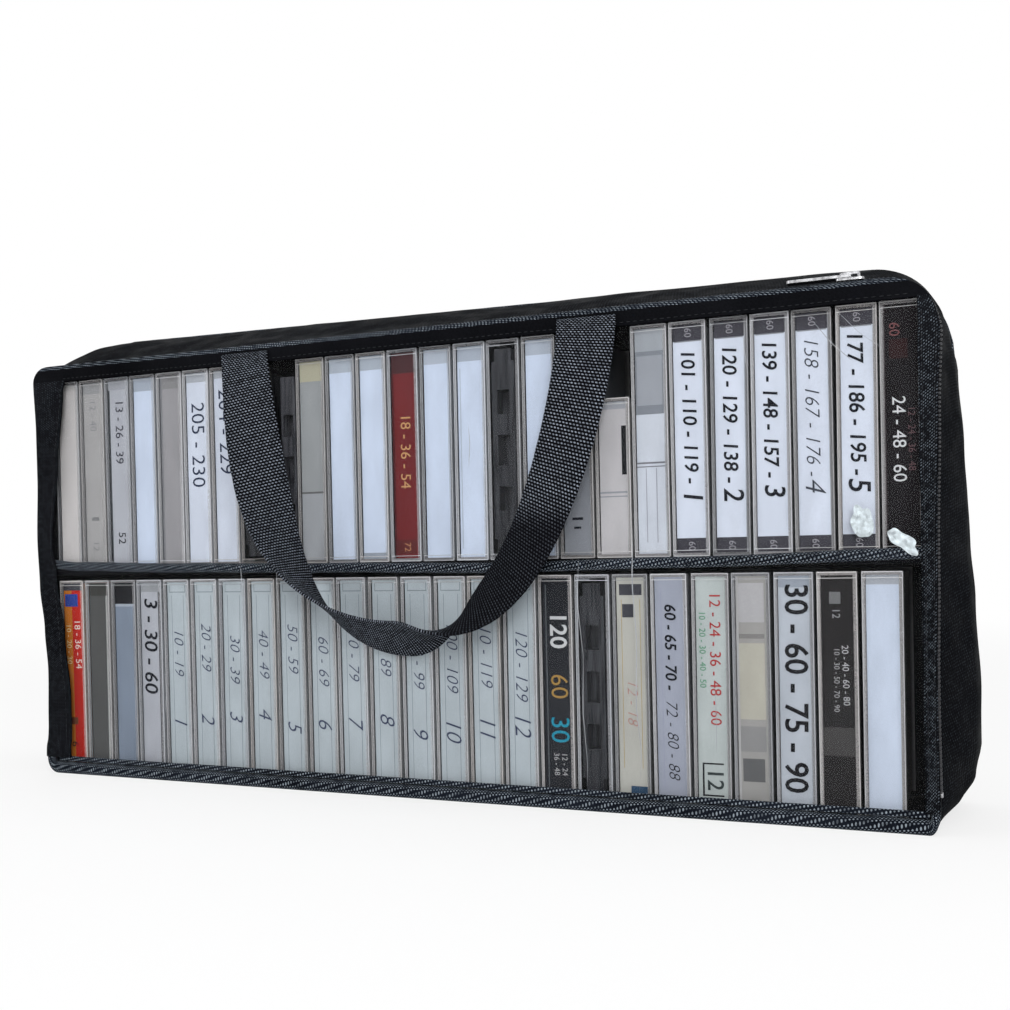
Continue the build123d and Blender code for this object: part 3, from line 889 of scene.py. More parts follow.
def make_shell():
    """The band of fabric from the zip to the piping, with its base, and the strip under the window's fold."""
    fabric = embossed_fabric("wall_fabric", hue("fabric"), hue("fleck"), 0.32)
    bm = bmesh.new()
    depth, round_length = PIPING_Y - SHELL_Y, 1490.0
    rings = {}

    def wall(u, v):
        y = SHELL_Y + v * depth
        key = round(v, 6)
        rings.setdefault(key, Outline(y))
        x, z, nx, nz = rings[key].at_share(u)
        wave = wobble(x * 0.016, y * 0.05, z * 0.016 + 3.0) * 1.6
        wave += wobble(x * 0.05, y * 0.022, z * 0.05) * 0.5
        calm = sin(pi * v) * (0.15 if z < 6.0 else 1.0)
        push = (wave - 0.5) * calm * 0.8
        return settle(x + nx * push, y, z + nz * push)

    sheet(bm, 420, 36, wall, (round_length, depth))
    bmesh.ops.remove_doubles(bm, verts=bm.verts, dist=0.01)
    face_away(bm, bm.faces, (0.0, 5.0, 120.0))
    shell = add_piece(
        "fabric_shell", bm, "bag", [fabric],
        ("gusset_top", "gusset_left", "gusset_right", "base_panel"),
    )
    thicken(shell, mm(bag().fabric))

    bm = bmesh.new()
    front = Outline(SHELL_Y)
    start = front.zip_ends()[0]

    def foot(u, v):
        x, z, _, _ = front.at_length((start - 2 * start * u) % front.whole)
        return settle(x, HEM_BACK + v * (SHELL_Y - HEM_BACK), z)

    faces = sheet(bm, 160, 4, foot, (2 * start, 9.0))
    face_away(bm, faces, (0.0, -31.0, 40.0))
    strip = add_piece("foot_strip", bm, "bag", [fabric], ("base_panel",))
    thicken(strip, mm(bag().fabric))


def make_back():
    """The back panel and the piping round it."""
    # Painted light: the back's cloth is the wall fabric made twice as light, standing in for the light that no
    # lamp gives the back.
    fabric = embossed_fabric("back_fabric", scaled(hue("fabric"), 2.0), hue("fleck"), 0.3)
    line = Outline(PIPING_Y, 2.4)
    middle_z = (line.z0 + line.z1) / 2
    bm = bmesh.new()

    def panel(u, v):
        """Lays the grid's square rings along the outline, so that its rim follows the rounded corners."""
        a, b = 2 * u - 1, 2 * v - 1
        reach = max(abs(a), abs(b), 1e-6)
        p, q = a / reach, b / reach
        if abs(q) >= abs(p):
            share = 0.5 + p * 0.175 if q > 0 else (1.0 - p * 0.18) % 1.0
        elif p > 0:
            share = 0.745 - q * 0.0705
        else:
            share = 0.255 + q * 0.0705
        x, z, _, _ = line.at_share(share)
        x, z = x * reach, middle_z + (z - middle_z) * reach
        wave = wobble(x * 0.014, 0.0, z * 0.02) * 0.5
        y = BACK_PANEL_Y - 0.15 - abs(wave) * (1.0 - reach**6)
        return settle(x, y, z)

    faces = sheet(bm, 120, 64, panel, (500.0, 262.0))
    face_away(bm, faces, (0.0, -500.0, 120.0))
    back = add_piece("back_cloth", bm, "bag", [fabric], ("back_panel",))
    thicken(back, 1.4)

    bm = bmesh.new()
    radius = (BACK_Y - PIPING_Y) / 2
    core = Outline(PIPING_Y, radius - 0.9)

    def tube(u, v):
        x, z, nx, nz = core.at_share(u)
        angle = 2 * pi * v
        lumpy = (radius + 0.2) * (1.0 + 0.05 * wobble(x * 0.08, 1.0, z * 0.08))
        out = lumpy * cos(angle)
        place = settle(x + nx * out, BACK_Y - radius, z + nz * out)
        place.y += lumpy * sin(angle)
        place.z = max(place.z, 0.05)
        return place

    sheet(bm, 460, 10, tube, (1520.0, 2 * pi * radius))
    close_tube(bm)
    add_piece("rear_piping", bm, "bag", [rolled_binding()], ("back_piping",))


def make_hem():
    """The rolled hem under the window, with a fold along it and its ends turned up."""
    front = Outline(FRONT_Y)
    start = front.zip_ends()[0] - 1.0
    deep, tall = HEM_BACK - FRONT_Y, 6.8
    bm = bmesh.new()

    def roll(u, v):
        x, z, nx, nz = front.at_length((start - 2 * start * u) % front.whole)
        angle = 2 * pi * v
        inward = tall / 2 - blunt(cos(angle), 0.5) * tall / 2
        y = FRONT_Y + deep / 2 + blunt(sin(angle), 0.62) * deep / 2
        if sin(angle) < 0:
            y += 0.25 * exp(-(((inward - 2.4) / 0.4) ** 2))
        y += 0.12 * wobble(x * 0.05, inward * 0.5, 2.0)
        return settle(x - nx * inward, y, z - nz * inward)

    sheet(bm, 300, 26, roll, (2 * start, 19.0))
    close_tube(bm)
    add_piece("rolled_hem", bm, "bag", [rolled_binding()], ("front_hem",))


BORDER_FOOT = HINGE_Z + 2.2
LEFT_INNER = (
    (9.0, -229.6), (42.0, -230.2), (79.0, -233.2), (117.0, -236.4), (135.0, -238.6),
    (179.0, -234.2), (224.0, -228.2), (232.0, -226.0),
)


def inner_left(z):
    """Place of the left border's wavy inner edge."""
    return follow(LEFT_INNER, z) + 0.5 * wobble(0.0, 0.3, z * 0.09)


def inner_right(z):
    """Place of the right border's inner edge."""
    return HALF_WIDTH - mm(bag().border_right) + 0.35 * wobble(4.0, 0.3, z * 0.06)


def inner_top(x):
    """Height of the top border's lower edge."""
    return mm(bag().height) - mm(bag().border_top) + 0.35 * wobble(x * 0.03, 2.0, 0.0)


def make_border():
    """The three fabric strips sewn over the clear sheet's edges, with their stitching."""
    size = bag()
    front = Outline(FRONT_Y)
    plain = embossed_fabric("border_plain", hue("border"))
    woven = rolled_binding()
    quiet = embossed_fabric("border_quiet", hue("border"), hue("fleck"), 0.5)
    dotted = embossed_fabric("border_dotted", hue("border"), scaled(hue("fleck"), 1.5), 1.2)
    seam_z = mm(size.height) - mm(size.border_top)
    overlap = 0.6
    seam_in = 1.6

    def lay(name, node, across, along, place, spans, material, edge_z=None):
        bm = bmesh.new()
        faces = sheet(bm, across, along, place, spans)
        face_away(bm, faces, BEHIND)
        for face in faces:
            face.material_index = int(edge_z is not None and face.calc_center_median().z > edge_z)
        strip = add_piece(name, bm, "front_flap", [material, woven], (node,))
        thicken(strip, mm(size.border))

    def puffed(share, outer_gap, z):
        """Depth of the cloth: it bends back at its free outer edge, rises a little in the middle and passes in
        front of the hem's ends at its foot."""
        over_hem = 0.8 * ramp(z, 20.0, 16.0)
        return FRONT_Y - over_hem + 0.5 * exp(-max(outer_gap, 0.0) / 0.7) + 0.1 * (1 - sin(pi * share))

    def upright(side, inner_edge):
        def place(u, v):
            z = BORDER_FOOT + v * (seam_z + overlap - BORDER_FOOT)
            outer, inner = front.side_x(z, side), inner_edge(z)
            x = outer + (inner - outer) * u
            return settle(x, puffed(u, abs(x - outer), z), z)

        return place

    def top(u, v):
        z = seam_z + mm(size.border_top) * v
        first, last = front.side_x(z, -1), front.side_x(z, 1)
        x = first + (last - first) * u
        gap = min(front.z1 - z, x - first, last - x)
        return settle(x, puffed(v, gap, z), z + (inner_top(x) - seam_z) * (1 - v))

    lay("border_left", "flap_border_left", 12, 130, upright(-1, inner_left), (20.0, 222.0), quiet)
    lay("border_right", "flap_border_right", 8, 130, upright(1, inner_right), (11.0, 222.0), dotted)
    lay("border_top", "flap_border_top", 260, 16, top, (500.0, 9.6), plain, front.z1 - 2.6)

    bm = bmesh.new()
    stitch = stitch_mesh()
    face = FRONT_Y - 0.04

    def sew(points):
        stitches(bm, stitch, points, lambda p: (0.0, -1.0, 0.0))

    sew([(inner_left(z) - seam_in, face, z) for z in range(22, 229, 6)])
    sew([(inner_right(z) + seam_in, face, z) for z in range(22, 229, 6)])
    sew([(x, face, inner_top(x) + seam_in) for x in range(-226, 240, 6)])
    sew([settle(front.side_x(z, 1) - 1.5, face, z) for z in range(22, 215, 6)])
    add_piece("border_stitches", bm, "front_flap", [thread_cotton()])


def make_window():
    """The clear sheet with the painted highlights of its creases and glare patches, and the strip of cloth
    along its foot.
    """
    size = bag()
    low, high = corners("flap_window")
    bm = bmesh.new()

    def ripple(x, z):
        wave = wobble(x * 0.018, 7.0, z * 0.006)
        wave += 0.4 * wobble(x * 0.05, 2.0, z * 0.02)
        wave += 0.5 * sin(x * 0.11 + 2.0 * sin(z * 0.017)) * exp(-((z - 225.0) / 30.0) ** 2)
        return mm(size.ripple) * wave

    seam = Outline(BORDER_BACK, 3.8)

    def pane(u, v):
        z = low.z + (high.z - low.z) * v
        x = low.x + (min(high.x, seam.side_x(z, 1) - follow(RIGHT_EDGE, z)) - low.x) * u
        return Vector((x, PANE_Y + ripple(x, z), z))

    faces = sheet(bm, 220, 96, pane, (high.x - low.x, high.z - low.z))
    face_away(bm, faces, BEHIND)
    haze = (0.75, 0.78, 0.82, 1.0)
    clear = clear_plastic("clear_vinyl", hue("clear"), 0.0018, haze, 0.07, 70.0, 0.0003, 0.002)
    window = add_piece("clear_window", bm, "front_flap", [clear], ("flap_window",))
    thicken(window, mm(size.sheet))

    bm = bmesh.new()
    chance = random.Random(3)
    white = (*hue("crease")[:3], 0.42)

    def crease(points, width, tint):
        """A thin irregular white line where the sheet has been folded: a painted highlight along the fold."""
        turns = [(chance.uniform(-0.35, 0.35), chance.uniform(0.25, 1.0)) for _ in points]

        def line(u, v):
            at = v * (len(points) - 1)
            n = min(int(at), len(points) - 2)
            t = at - n
            x = points[n][0] + (points[n + 1][0] - points[n][0]) * t
            z = points[n][1] + (points[n + 1][1] - points[n][1]) * t
            shift = turns[n][0] * (1 - t) + turns[n + 1][0] * t
            wide = width * (turns[n][1] * (1 - t) + turns[n + 1][1] * t) * min(1.0, 6 * v, 6 * (1 - v))
            x += shift + (u - 0.5) * max(wide, 0.02)
            return Vector((x, CREASE_Y + ripple(x, z), z))

        paint(bm, sheet(bm, 1, 3 * len(points), line, (width, 10.0)), tint)

    for points, width in CREASES:
        crease(points, width, white)
    for middle_x, middle_z, wide, tall, degrees, seed in GLARES:
        turn = radians(degrees)

        def patch(u, v):
            angle = 2 * pi * u
            ragged = 0.95 + 0.42 * wobble(cos(angle) * 1.3, sin(angle) * 1.3, seed)
            along, over = wide * v * ragged * cos(angle), tall * v * ragged * sin(angle)
            x = middle_x + along * cos(turn) - over * sin(turn)
            z = middle_z + along * sin(turn) + over * cos(turn)
            return Vector((x, CREASE_Y + ripple(x, z), z))

        # Each glare patch is a painted reflection whose brightness changes a little from face to face.
        for face in sheet(bm, 40, 5, patch, (3.0, 3.0)):
            tone = 0.78 + 0.5 * noise.noise(face.calc_center_median() * 0.55)
            paint(bm, [face], (0.66 * tone, 0.74 * tone, 0.78 * tone, 0.94))
    face_away(bm, bm.faces, BEHIND)
    faint = tinted("crease_highlight", 0.3, 0.2, thin=0.05)
    add_piece("window_crease_highlights", bm, "front_flap", [faint])

    bm = bmesh.new()

    def foot(u, v):
        x = -238.0 + 479.0 * u
        up, out = blunt(sin(2 * pi * v), 0.6), blunt(cos(2 * pi * v), 0.6)
        z = HINGE_Z + 1.45 + 1.5 * up + 0.12 * wobble(x * 0.02, 0.0, 5.0)
        return Vector((x, CREASE_Y + 0.05 + 0.35 * out, z))

    sheet(bm, 200, 12, foot, (476.0, 6.0))
    close_tube(bm)
    add_piece("window_foot", bm, "front_flap", [rolled_binding()])


# Depth of the clear sheet, and of the painted highlights on its face.
PANE_Y = -37.95
CREASE_Y = -38.15

# The painted highlights along the creases (points across and up, width), and the painted glare patches (middle,
# half sizes, turn, seed).
CREASES = (
    (((-107, 121), (-106.6, 114), (-107.2, 108), (-106.9, 104)), 0.7),
    (((-84, 125), (-84.4, 112), (-83.8, 98), (-84.1, 88)), 0.5),
    (((86, 122), (85, 100), (87.4, 74), (86.5, 48), (88.6, 24), (88, 12)), 0.6),
    (((113, 137), (112, 110), (114, 82), (113, 52), (115, 28), (114, 11)), 0.55),
    (((150, 60), (150.6, 44), (150.2, 31)), 0.5),
    (((196, 225), (204, 214), (213, 205)), 0.45),
    (((207, 227), (216, 217), (226, 209)), 0.4),
    (((-160, 62), (-159.4, 50), (-160.2, 38)), 0.4),
    (((30, 190), (30.5, 180), (30.1, 168)), 0.35),
    (((167, 225), (166.4, 216), (167.2, 205)), 0.4),
)
GLARES = ((215.8, 136.0, 7.6, 5.0, -74.0, 1.3), (231.6, 126.6, 7.6, 3.6, -42.0, 4.1))


def tooth_mesh(long, deep):
    """One turn of the zip's coil: a short rounded bar, its long side along Y."""
    bm = bmesh.new()
    block(bm, (-0.55, -long / 2, -deep), (0.55, long / 2, 0.0), 0.3, 1)
    return template(bm)


def make_zip():
    """The two halves of the zip, each a tape and a row of teeth, with the stops at the row's ends."""
    front = Outline(FRONT_Y)
    start, end = front.zip_ends()
    cloth, plastic = zip_tape_cloth(), coil_plastic()
    proud, pitch = mm(bag().tooth_proud), mm(bag().tooth_pitch)
    stop_long, reach = 2.5, 0.42

    def tape(name, node, body, y0, y1):
        def place(u, v):
            x, z, nx, nz = front.at_length(start + (end - start) * u)
            dip = 0.22 * sin(pi * v)
            return settle(x - nx * dip, y0 + (y1 - y0) * v, z - nz * dip)

        bm = bmesh.new()
        faces = sheet(bm, 460, 5, place, (end - start, y1 - y0))
        face_away(bm, faces, (0.0, (y0 + y1) / 2, 120.0))
        strip = add_piece(name, bm, body, [cloth], (node,))
        thicken(strip, 0.7)

    tape("flap_tape", "flap_zip_tape", "front_flap", BORDER_BACK, FLAP_TEETH_Y)
    tape("body_tape", "body_zip_tape", "bag", BODY_TAPE_Y, SHELL_Y)

    def teeth(name, node, body, y0, y1, first):
        tooth = tooth_mesh(y1 - y0, proud + 1.5)
        bm = bmesh.new()
        count = int((end - start - first) / pitch)
        for n in range(count):
            s = start + first + n * pitch
            x, z, nx, nz = front.at_length(s)
            high = proud * (1.0 - 1.5 * max(nx, 0.0) * max(nz, 0.0))
            at = settle(x + nx * high, (y0 + y1) / 2, z + nz * high)
            stamp(bm, tooth, turned(at, (nz, 0.0, -nx), (nx, 0.0, nz)))
        add_piece(name, bm, body, [plastic], (node,))

    depth = BODY_TAPE_Y - BODY_TEETH_Y
    clamp = bmesh.new()
    block(clamp, (-stop_long / 2, -depth / 2, -proud - 1.2), (stop_long / 2, depth / 2, 0.15), 0.35)
    clamp = template(clamp)
    bm = bmesh.new()
    for s in (start + stop_long / 2, end - stop_long / 2):
        x, z, nx, nz = front.at_length(s)
        at = settle(x + nx * proud, BODY_TEETH_Y + depth / 2, z + nz * proud)
        stamp(bm, clamp, turned(at, (nz, 0.0, -nx), (nx, 0.0, nz)))
    add_piece("end_stops", bm, "bag", [nickel()], ("zip_stops",))

    teeth("flap_teeth", "flap_zip_teeth", "front_flap", FLAP_TEETH_Y, FLAP_TEETH_BACK + reach, 0.7)
    teeth("body_teeth", "body_zip_teeth", "bag", BODY_TEETH_Y - reach, BODY_TAPE_Y, stop_long + 0.7 + pitch / 2)


def make_slider():
    """Nickel finish for the slider, its bridge and its pull tab."""
    metal = nickel()
    for node in ("slider_body", "slider_bridge", "pull_tab"):
        cover(node, metal)


def strap_at(share):
    """Middle of a handle's strap and its turn, at a share of its length."""
    size = bag()
    turn = pi * share
    late = size.strap_unroll if share > 0.5 else 0.0
    swing = size.strap_twist * ((1 - late) * sin(turn) ** 2 + late * sin(turn) ** size.strap_unroll_speed)
    x = mm(size.strap_centre) - mm(size.strap_spacing) / 2 * cos(turn) * (1 + 0.2 * sin(turn) ** 4)
    z = mm(size.strap_top) - mm(size.strap_drop) * sin(turn) ** 1.3
    deep = (mm(size.strap_width) * sin(swing) + mm(size.strap_thick) * abs(cos(swing))) / 2
    y = FRONT_Y - 0.3 - deep
    return Vector((x, y, z)), swing


def make_handles():
    """The two webbing handles, with the stitching that holds their ends."""
    webbing, thread = dotted_webbing(), thread_cotton()
    wide, thick = mm(bag().strap_width), mm(bag().strap_thick)
    steps, nudge = 320, 0.002
    table = []
    run_length = 0.0
    for n in range(steps + 1):
        share = n / steps
        at, swing = strap_at(share)
        ahead, _ = strap_at(min(share + nudge, 1.0))
        behind, _ = strap_at(max(share - nudge, 0.0))
        run = Vector((ahead.x - behind.x, 0.0, ahead.z - behind.z)).normalized()
        forward = Vector((0.0, -1.0, 0.0))
        face = forward * cos(swing) + forward.cross(run) * sin(swing)
        if table:
            run_length += (at - table[-1][0]).length
        table.append((at, run.cross(face), face))

    for name, node, body, mirror in (
        ("front_webbing", "front_strap", "front_handle", False),
        ("rear_webbing", "rear_strap", "rear_handle", True),
    ):
        def flip(point):
            return Vector((point.x, -point.y - 0.9, point.z)) if mirror else point

        def ribbon(u, v):
            n = min(int(round(v * steps)), steps)
            at, across, face = table[n]
            crown = -0.12 * (2 * u - 1) ** 2
            edge = 0.18 * wobble(0.0, u * 3, v * 90) if u < 0.01 or u > 0.99 else 0.0
            return flip(at + across * (wide * (u - 0.5) + edge) + face * (thick / 2 + crown))

        bm = bmesh.new()
        faces = sheet(bm, 10, steps, ribbon, (wide, run_length))
        outward = flip(Vector((0.0, -1.0, 0.0))) - flip(Vector((0.0, 0.0, 0.0)))
        for face in faces:
            face.normal_update()
        tops = [face for face in faces if face.calc_center_median().z > mm(bag().strap_top) - 12.0]
        if sum(face.normal.dot(outward) for face in tops) < 0:
            bmesh.ops.reverse_faces(bm, faces=list(faces))
        strap = add_piece(name, bm, body, [webbing], (node,))
        thicken(strap, thick - 0.15)
        soften(strap, 0.35, 60.0)

        bm = bmesh.new()
        stitch = stitch_mesh()
        for end in (0, 1):
            def on_strap(u, v):
                n = round((v if end == 0 else 1 - v) * steps)
                at, across, face = table[n]
                return flip(at + across * wide * (u - 0.5) + face * (thick / 2 + 0.1))

            lines = [[on_strap(u / 6, v) for u in range(1, 6)] for v in (0.012, 0.052)]
            lines += [[on_strap(u, v / 100) for v in (1.2, 3.2, 5.2)] for u in (1 / 6, 5 / 6)]
            for line in lines:
                stitches(bm, stitch, line, lambda p: outward, 2.0, 0.7)
        add_piece(name + "_stitches", bm, body, [thread])


# How high the shelf's front edge hangs along the width, over its place in CAD.
SHELF_LINE = (
    (-242.0, 4.2), (-222.0, 2.6), (-150.0, 0.8), (-60.0, -0.4), (45.0, -1.7), (140.0, -0.4), (248.0, 1.9),
)


def make_shelf():
    """The padded shelf, its rolled binding with a free rounded end, and the board in the base."""
    right_end = HALF_WIDTH - 7.0
    low, high = corners("shelf_panel")
    high.x = min(high.x, right_end)
    bm = bmesh.new()

    def pad(u, v):
        x = low.x + (high.x - low.x) * u
        half_y, half_z = (high.y - low.y) / 2, (high.z - low.z) / 2
        y = (low.y + high.y) / 2 + half_y * blunt(cos(2 * pi * v), 0.25)
        puff = 0.25 * wobble(x * 0.03, y * 0.05, 9.0)
        z = (low.z + high.z) / 2 + (half_z - 0.15) * blunt(sin(2 * pi * v), 0.3)
        return Vector((x, y, z + min(puff, 0.1)))

    sheet(bm, 120, 48, pad, (high.x - low.x, 153.0))
    close_tube(bm)
    cloth = embossed_fabric("shelf_cloth", hue("shelf"))
    shelf = add_piece("padded_shelf", bm, "bag", [cloth], ("shelf_panel",))

    low, high = corners("shelf_binding")
    high.x = min(high.x, right_end)
    bm = bmesh.new()

    def roll(u, v):
        x = low.x + (high.x - low.x) * u
        end = min(1.0, sqrt(max(1 - (1 - min((x - low.x) / 4.0, 1.0)) ** 2, 0.0)) + 0.02)
        half_y, half_z = (high.y - low.y) / 2, (high.z - low.z) / 2 * end * 0.82
        y = (low.y + high.y) / 2 + half_y * blunt(cos(2 * pi * v), 0.7)
        z = (low.z + high.z) / 2 + half_z * blunt(sin(2 * pi * v), 0.6) + 0.5
        if cos(2 * pi * v) < 0:
            y += 0.35 * exp(-(((z - low.z - 1.9) / 0.4) ** 2))
        return Vector((x, y, z + follow(SHELF_LINE, x) + 0.2 * wobble(x * 0.04, 3.0, 0.0)))

    sheet(bm, 240, 24, roll, (high.x - low.x, 15.0))
    close_tube(bm)
    add_piece("shelf_roll", bm, "bag", [rolled_binding()], ("shelf_binding",))
    cover("base_board", moulded("pressed_board", hue("board"), 0.8))


ROWS = ("upper", "lower", "short")


def node_of(row, part):
    """Name of the CAD node that holds a part of the cases of one row."""
    return f"{row}_{part}" if row == "short" else f"{row}_{part}s"


def case_places():
    """Each case's row, number in the row, left edge, foot and height, read from the CAD lids."""
    found = []
    for row, node, foot in (("upper", "upper_lids", SHELF_TOP), ("lower", "lower_lids", LOWER_Z)):
        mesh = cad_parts[node].data
        edges = sorted({round(vert.co.x / MM, 1) for vert in mesh.vertices})
        width, starts = mm(case().width), []
        for x in edges:
            if not starts or x > starts[-1] + width + 0.4:
                starts.append(x)
        found += [(row, n, x, foot, mm(case().height)) for n, x in enumerate(starts)]
    found.append(("short", 0, corners("short_lid")[0].x, SHELF_TOP, mm(case().short_height)))
    return found


def lean_of(row, number):
    """A small turn for each case, so that no two stand quite alike."""
    chance = random.Random(f"{case().seed} {row} {number}")
    tilt = chance.uniform(-1.0, 1.0) * mm(case().looseness) / mm(case().height)
    return tilt, chance.uniform(0.0, 0.5), chance


def case_matrix(row, number, x, foot):
    """Where a case stands, with its lean."""
    tilt, back, _ = lean_of(row, number)
    middle = Vector((mm(case().width) / 2, 0.0, 0.0))
    place = Matrix.Translation((x, CASE_Y + back, foot))
    return place @ Matrix.Translation(middle) @ Matrix.Rotation(tilt, 4, "Y") @ Matrix.Translation(-middle)


# Width of the painted highlight band along each side of a spine; the cards keep inside it.
EDGE_BAND = 1.75


def edge_paint(bm, faces, tint):
    """Makes faces a case's painted edge highlight, with its own tint and how solid it is."""
    paint(bm, faces, tint)
    for face in faces:
        face.material_index = 1


def lid_mesh(height):
    """A clear lid: its spine, face and ends, with thick moulded edges that carry a painted highlight, as does
    the front of its right side wall.
    """
    size = case()
    width, depth, wall = mm(size.width), mm(size.depth), mm(size.wall)
    bm = open_box((0.0, 0.0, 0.0), (width, depth, height), wall, lambda normal: normal.x < -0.5)
    outer = [
        e for e in bm.edges
        if e.calc_length() > 20 and len(e.link_faces) == 2 and e.calc_face_angle(0.0) > 1.0
        and all(abs(v.co.y) < 0.01 or abs(v.co.x - width) < 0.01 for v in e.verts)
    ]
    bmesh.ops.bevel(bm, geom=outer, offset=0.45, segments=2, profile=0.5, affect="EDGES", material=-1)
    cut_across(bm, 0, (0.4, EDGE_BAND, width - EDGE_BAND, width - 0.4))
    cut_across(bm, 2, (0.5, 1.6, 2.7, 3.0, height - 3.0, height - 2.7, height - 1.6, height - 0.5))
    cut_across(bm, 1, (3.0, 8.0))
    # Painted highlight: rims and fine lines on the spine get a pale, fairly solid colour. The spine's edge
    # bands and the right side wall's first 3 mm get a fainter one, and the side wall on to 8 mm deep a fainter
    # one still, so that the gaps between cases look lit.
    line, band, deep = [], [], []
    for face in bm.faces:
        at = face.calc_center_median()
        from_side = min(at.x, width - at.x)
        from_end = min(at.z, height - at.z)
        if at.y < 0.3:
            if from_side < 0.4 or from_end < 0.5 or 2.7 < from_end < 3.0:
                line.append(face)
            elif from_side < EDGE_BAND or from_end < 1.6:
                band.append(face)
        elif at.x < 0.05 or at.y > depth - 0.05:
            line.append(face)
        elif at.x > width - wall * 1.2 and at.y < 8.0 and abs(face.normal.x) > 0.5:
            (band if at.y < 3.0 else deep).append(face)
    edge_paint(bm, line, (1.0, 1.0, 1.0, 0.72))
    edge_paint(bm, band, (0.72, 0.70, 0.70, 0.42))
    edge_paint(bm, deep, (0.6, 0.6, 0.6, 0.25))
    return bm


def tray_mesh(height):
    """The clear tray behind the lid, open towards the cassette."""
    wide, inset, gap = 7.0, 2.0, 1.9
    low, high = (0.0, inset, gap), (wide, mm(case().depth), height - gap)
    bm = open_box(low, high, mm(case().wall) * 0.8, lambda normal: normal.x > 0.5 or normal.y < -0.5)
    middles = [(face, face.calc_center_median()) for face in bm.faces]
    # Painted highlight on the tray's rims.
    rims = [face for face, at in middles if at.x > wide - 0.05 or at.y < inset + 0.05]
    edge_paint(bm, rims, (0.7, 0.7, 0.7, 0.6))
    return bm


def make_cases():
    """The clear lids and trays of all the cases."""
    haze = (0.7, 0.74, 0.76, 1.0)
    clear = clear_plastic("clear_case", hue("case"), 0.0022, haze, 0.09, 120.0, 0.0002, 0.0014)
    edge = tinted("case_edge_highlight", 0.3, 0.3, thin=0.05, gloss=1.4)
    made = {}
    shapes = {}
    for part, shape in (("lid", lid_mesh), ("tray", tray_mesh)):
        full, short = template(shape(mm(case().height))), template(shape(mm(case().short_height)))
        for row in ROWS:
            made[row, part] = bmesh.new()
            shapes[row, part] = short if row == "short" else full
    base = hue("edge")
    for row, number, x, foot, _ in case_places():
        matrix = case_matrix(row, number, x, foot)
        chance = lean_of(row, number)[2]
        # Each case's painted edge highlight gets its own warmth and brightness.
        warm = chance.uniform(-1.0, 1.0)
        light = chance.uniform(0.65, 1.3)
        tint = [base[0] * light * (1 + 0.04 * warm), base[1] * light, base[2] * light * (1 - 0.05 * warm)]
        for part in ("lid", "tray"):
            stamp(made[row, part], shapes[row, part], matrix, tint, shade)
    for row in ROWS:
        for part in ("lid", "tray"):
            name, node = f"clear_{row}_{part}s", node_of(row, part)
            add_piece(name, made[row, part], "bag", [clear, edge], (node,), smooth=False)


def tile(bm, x0, x1, z0, z1, y, tint):
    """A flat patch of paper facing the window."""
    faces = sheet(bm, 1, 1, lambda u, v: Vector((x0 + (x1 - x0) * u, y, z0 + (z1 - z0) * v)))
    face_away(bm, faces, ((x0 + x1) / 2, 500.0, (z0 + z1) / 2))
    paint(bm, faces, tint)


WHITE = (0.64, 0.68, 0.76)
BLUE_WHITE = (0.58, 0.65, 0.77)
OFF_WHITE = (0.46, 0.51, 0.53)
INK = (0.012, 0.013, 0.018)
NAVY_INK = (0.03, 0.04, 0.075)
BLUE_INK = (0.055, 0.066, 0.115)
GREY_DARK = (0.052, 0.050, 0.060)
BLACK = (0.012, 0.012, 0.014)

# The stroke and the slant of a number that is written with a marker, with a pen, or printed.
MARKER = (0.13, 0.12)
PEN = (-0.13, 0.3)
FINE = (-0.06, 0.0)


def head(foot, tint):
    """A printed band over a card's head, from this share of its height on."""
    return (0, 1, foot, 1, tint)


def plain_card(ground, *patches):
    """A card with printed patches and no numbers."""
    return (ground, patches, ())


def marked_card(run, last, ink=INK, hand=MARKER):
    """A white label card with a dark head and foot, a run of numbers down it and a bigger one at its end."""
    small = (0.30, 0.29, 0.31)
    return (
        WHITE,
        (head(0.93, GREY_DARK), (0, 1, 0.0, 0.065, GREY_DARK), (0.04, 0.96, 0.925, 0.93, (0.25, 0.26, 0.28))),
        (
            ("60", 3.2, 0.5, 0.965, small),
            ("60", 3.2, 0.5, 0.03, small),
            (*run, ink, *hand),
            (*last, ink, *hand),
        ),
    )


def pen_card(number):
    """A pale green-white card with two thin grey lines, a small box at its head and a number in blue pen."""
    line = (0.26, 0.30, 0.31)
    place = number + 3
    return (
        OFF_WHITE,
        (
            (0.2, 0.225, 0.02, 0.93, line),
            (0.78, 0.805, 0.02, 0.93, line),
            (0.1, 0.9, 0.945, 0.95, line),
            (0.1, 0.9, 0.985, 0.99, line),
            (0.1, 0.13, 0.945, 0.99, line),
            (0.87, 0.9, 0.945, 0.99, line),
            (0, 1, 0, 0.02, (0.22, 0.26, 0.25)),
        ),
        (
            (f"{number}0 - {number}9", 6.6, 0.5, 0.60 + 0.03 * (place % 3), BLUE_INK, *PEN),
            (str(number), 8.8, 0.5, 0.26 + 0.02 * (place % 4), BLUE_INK, *PEN),
        ),
    )


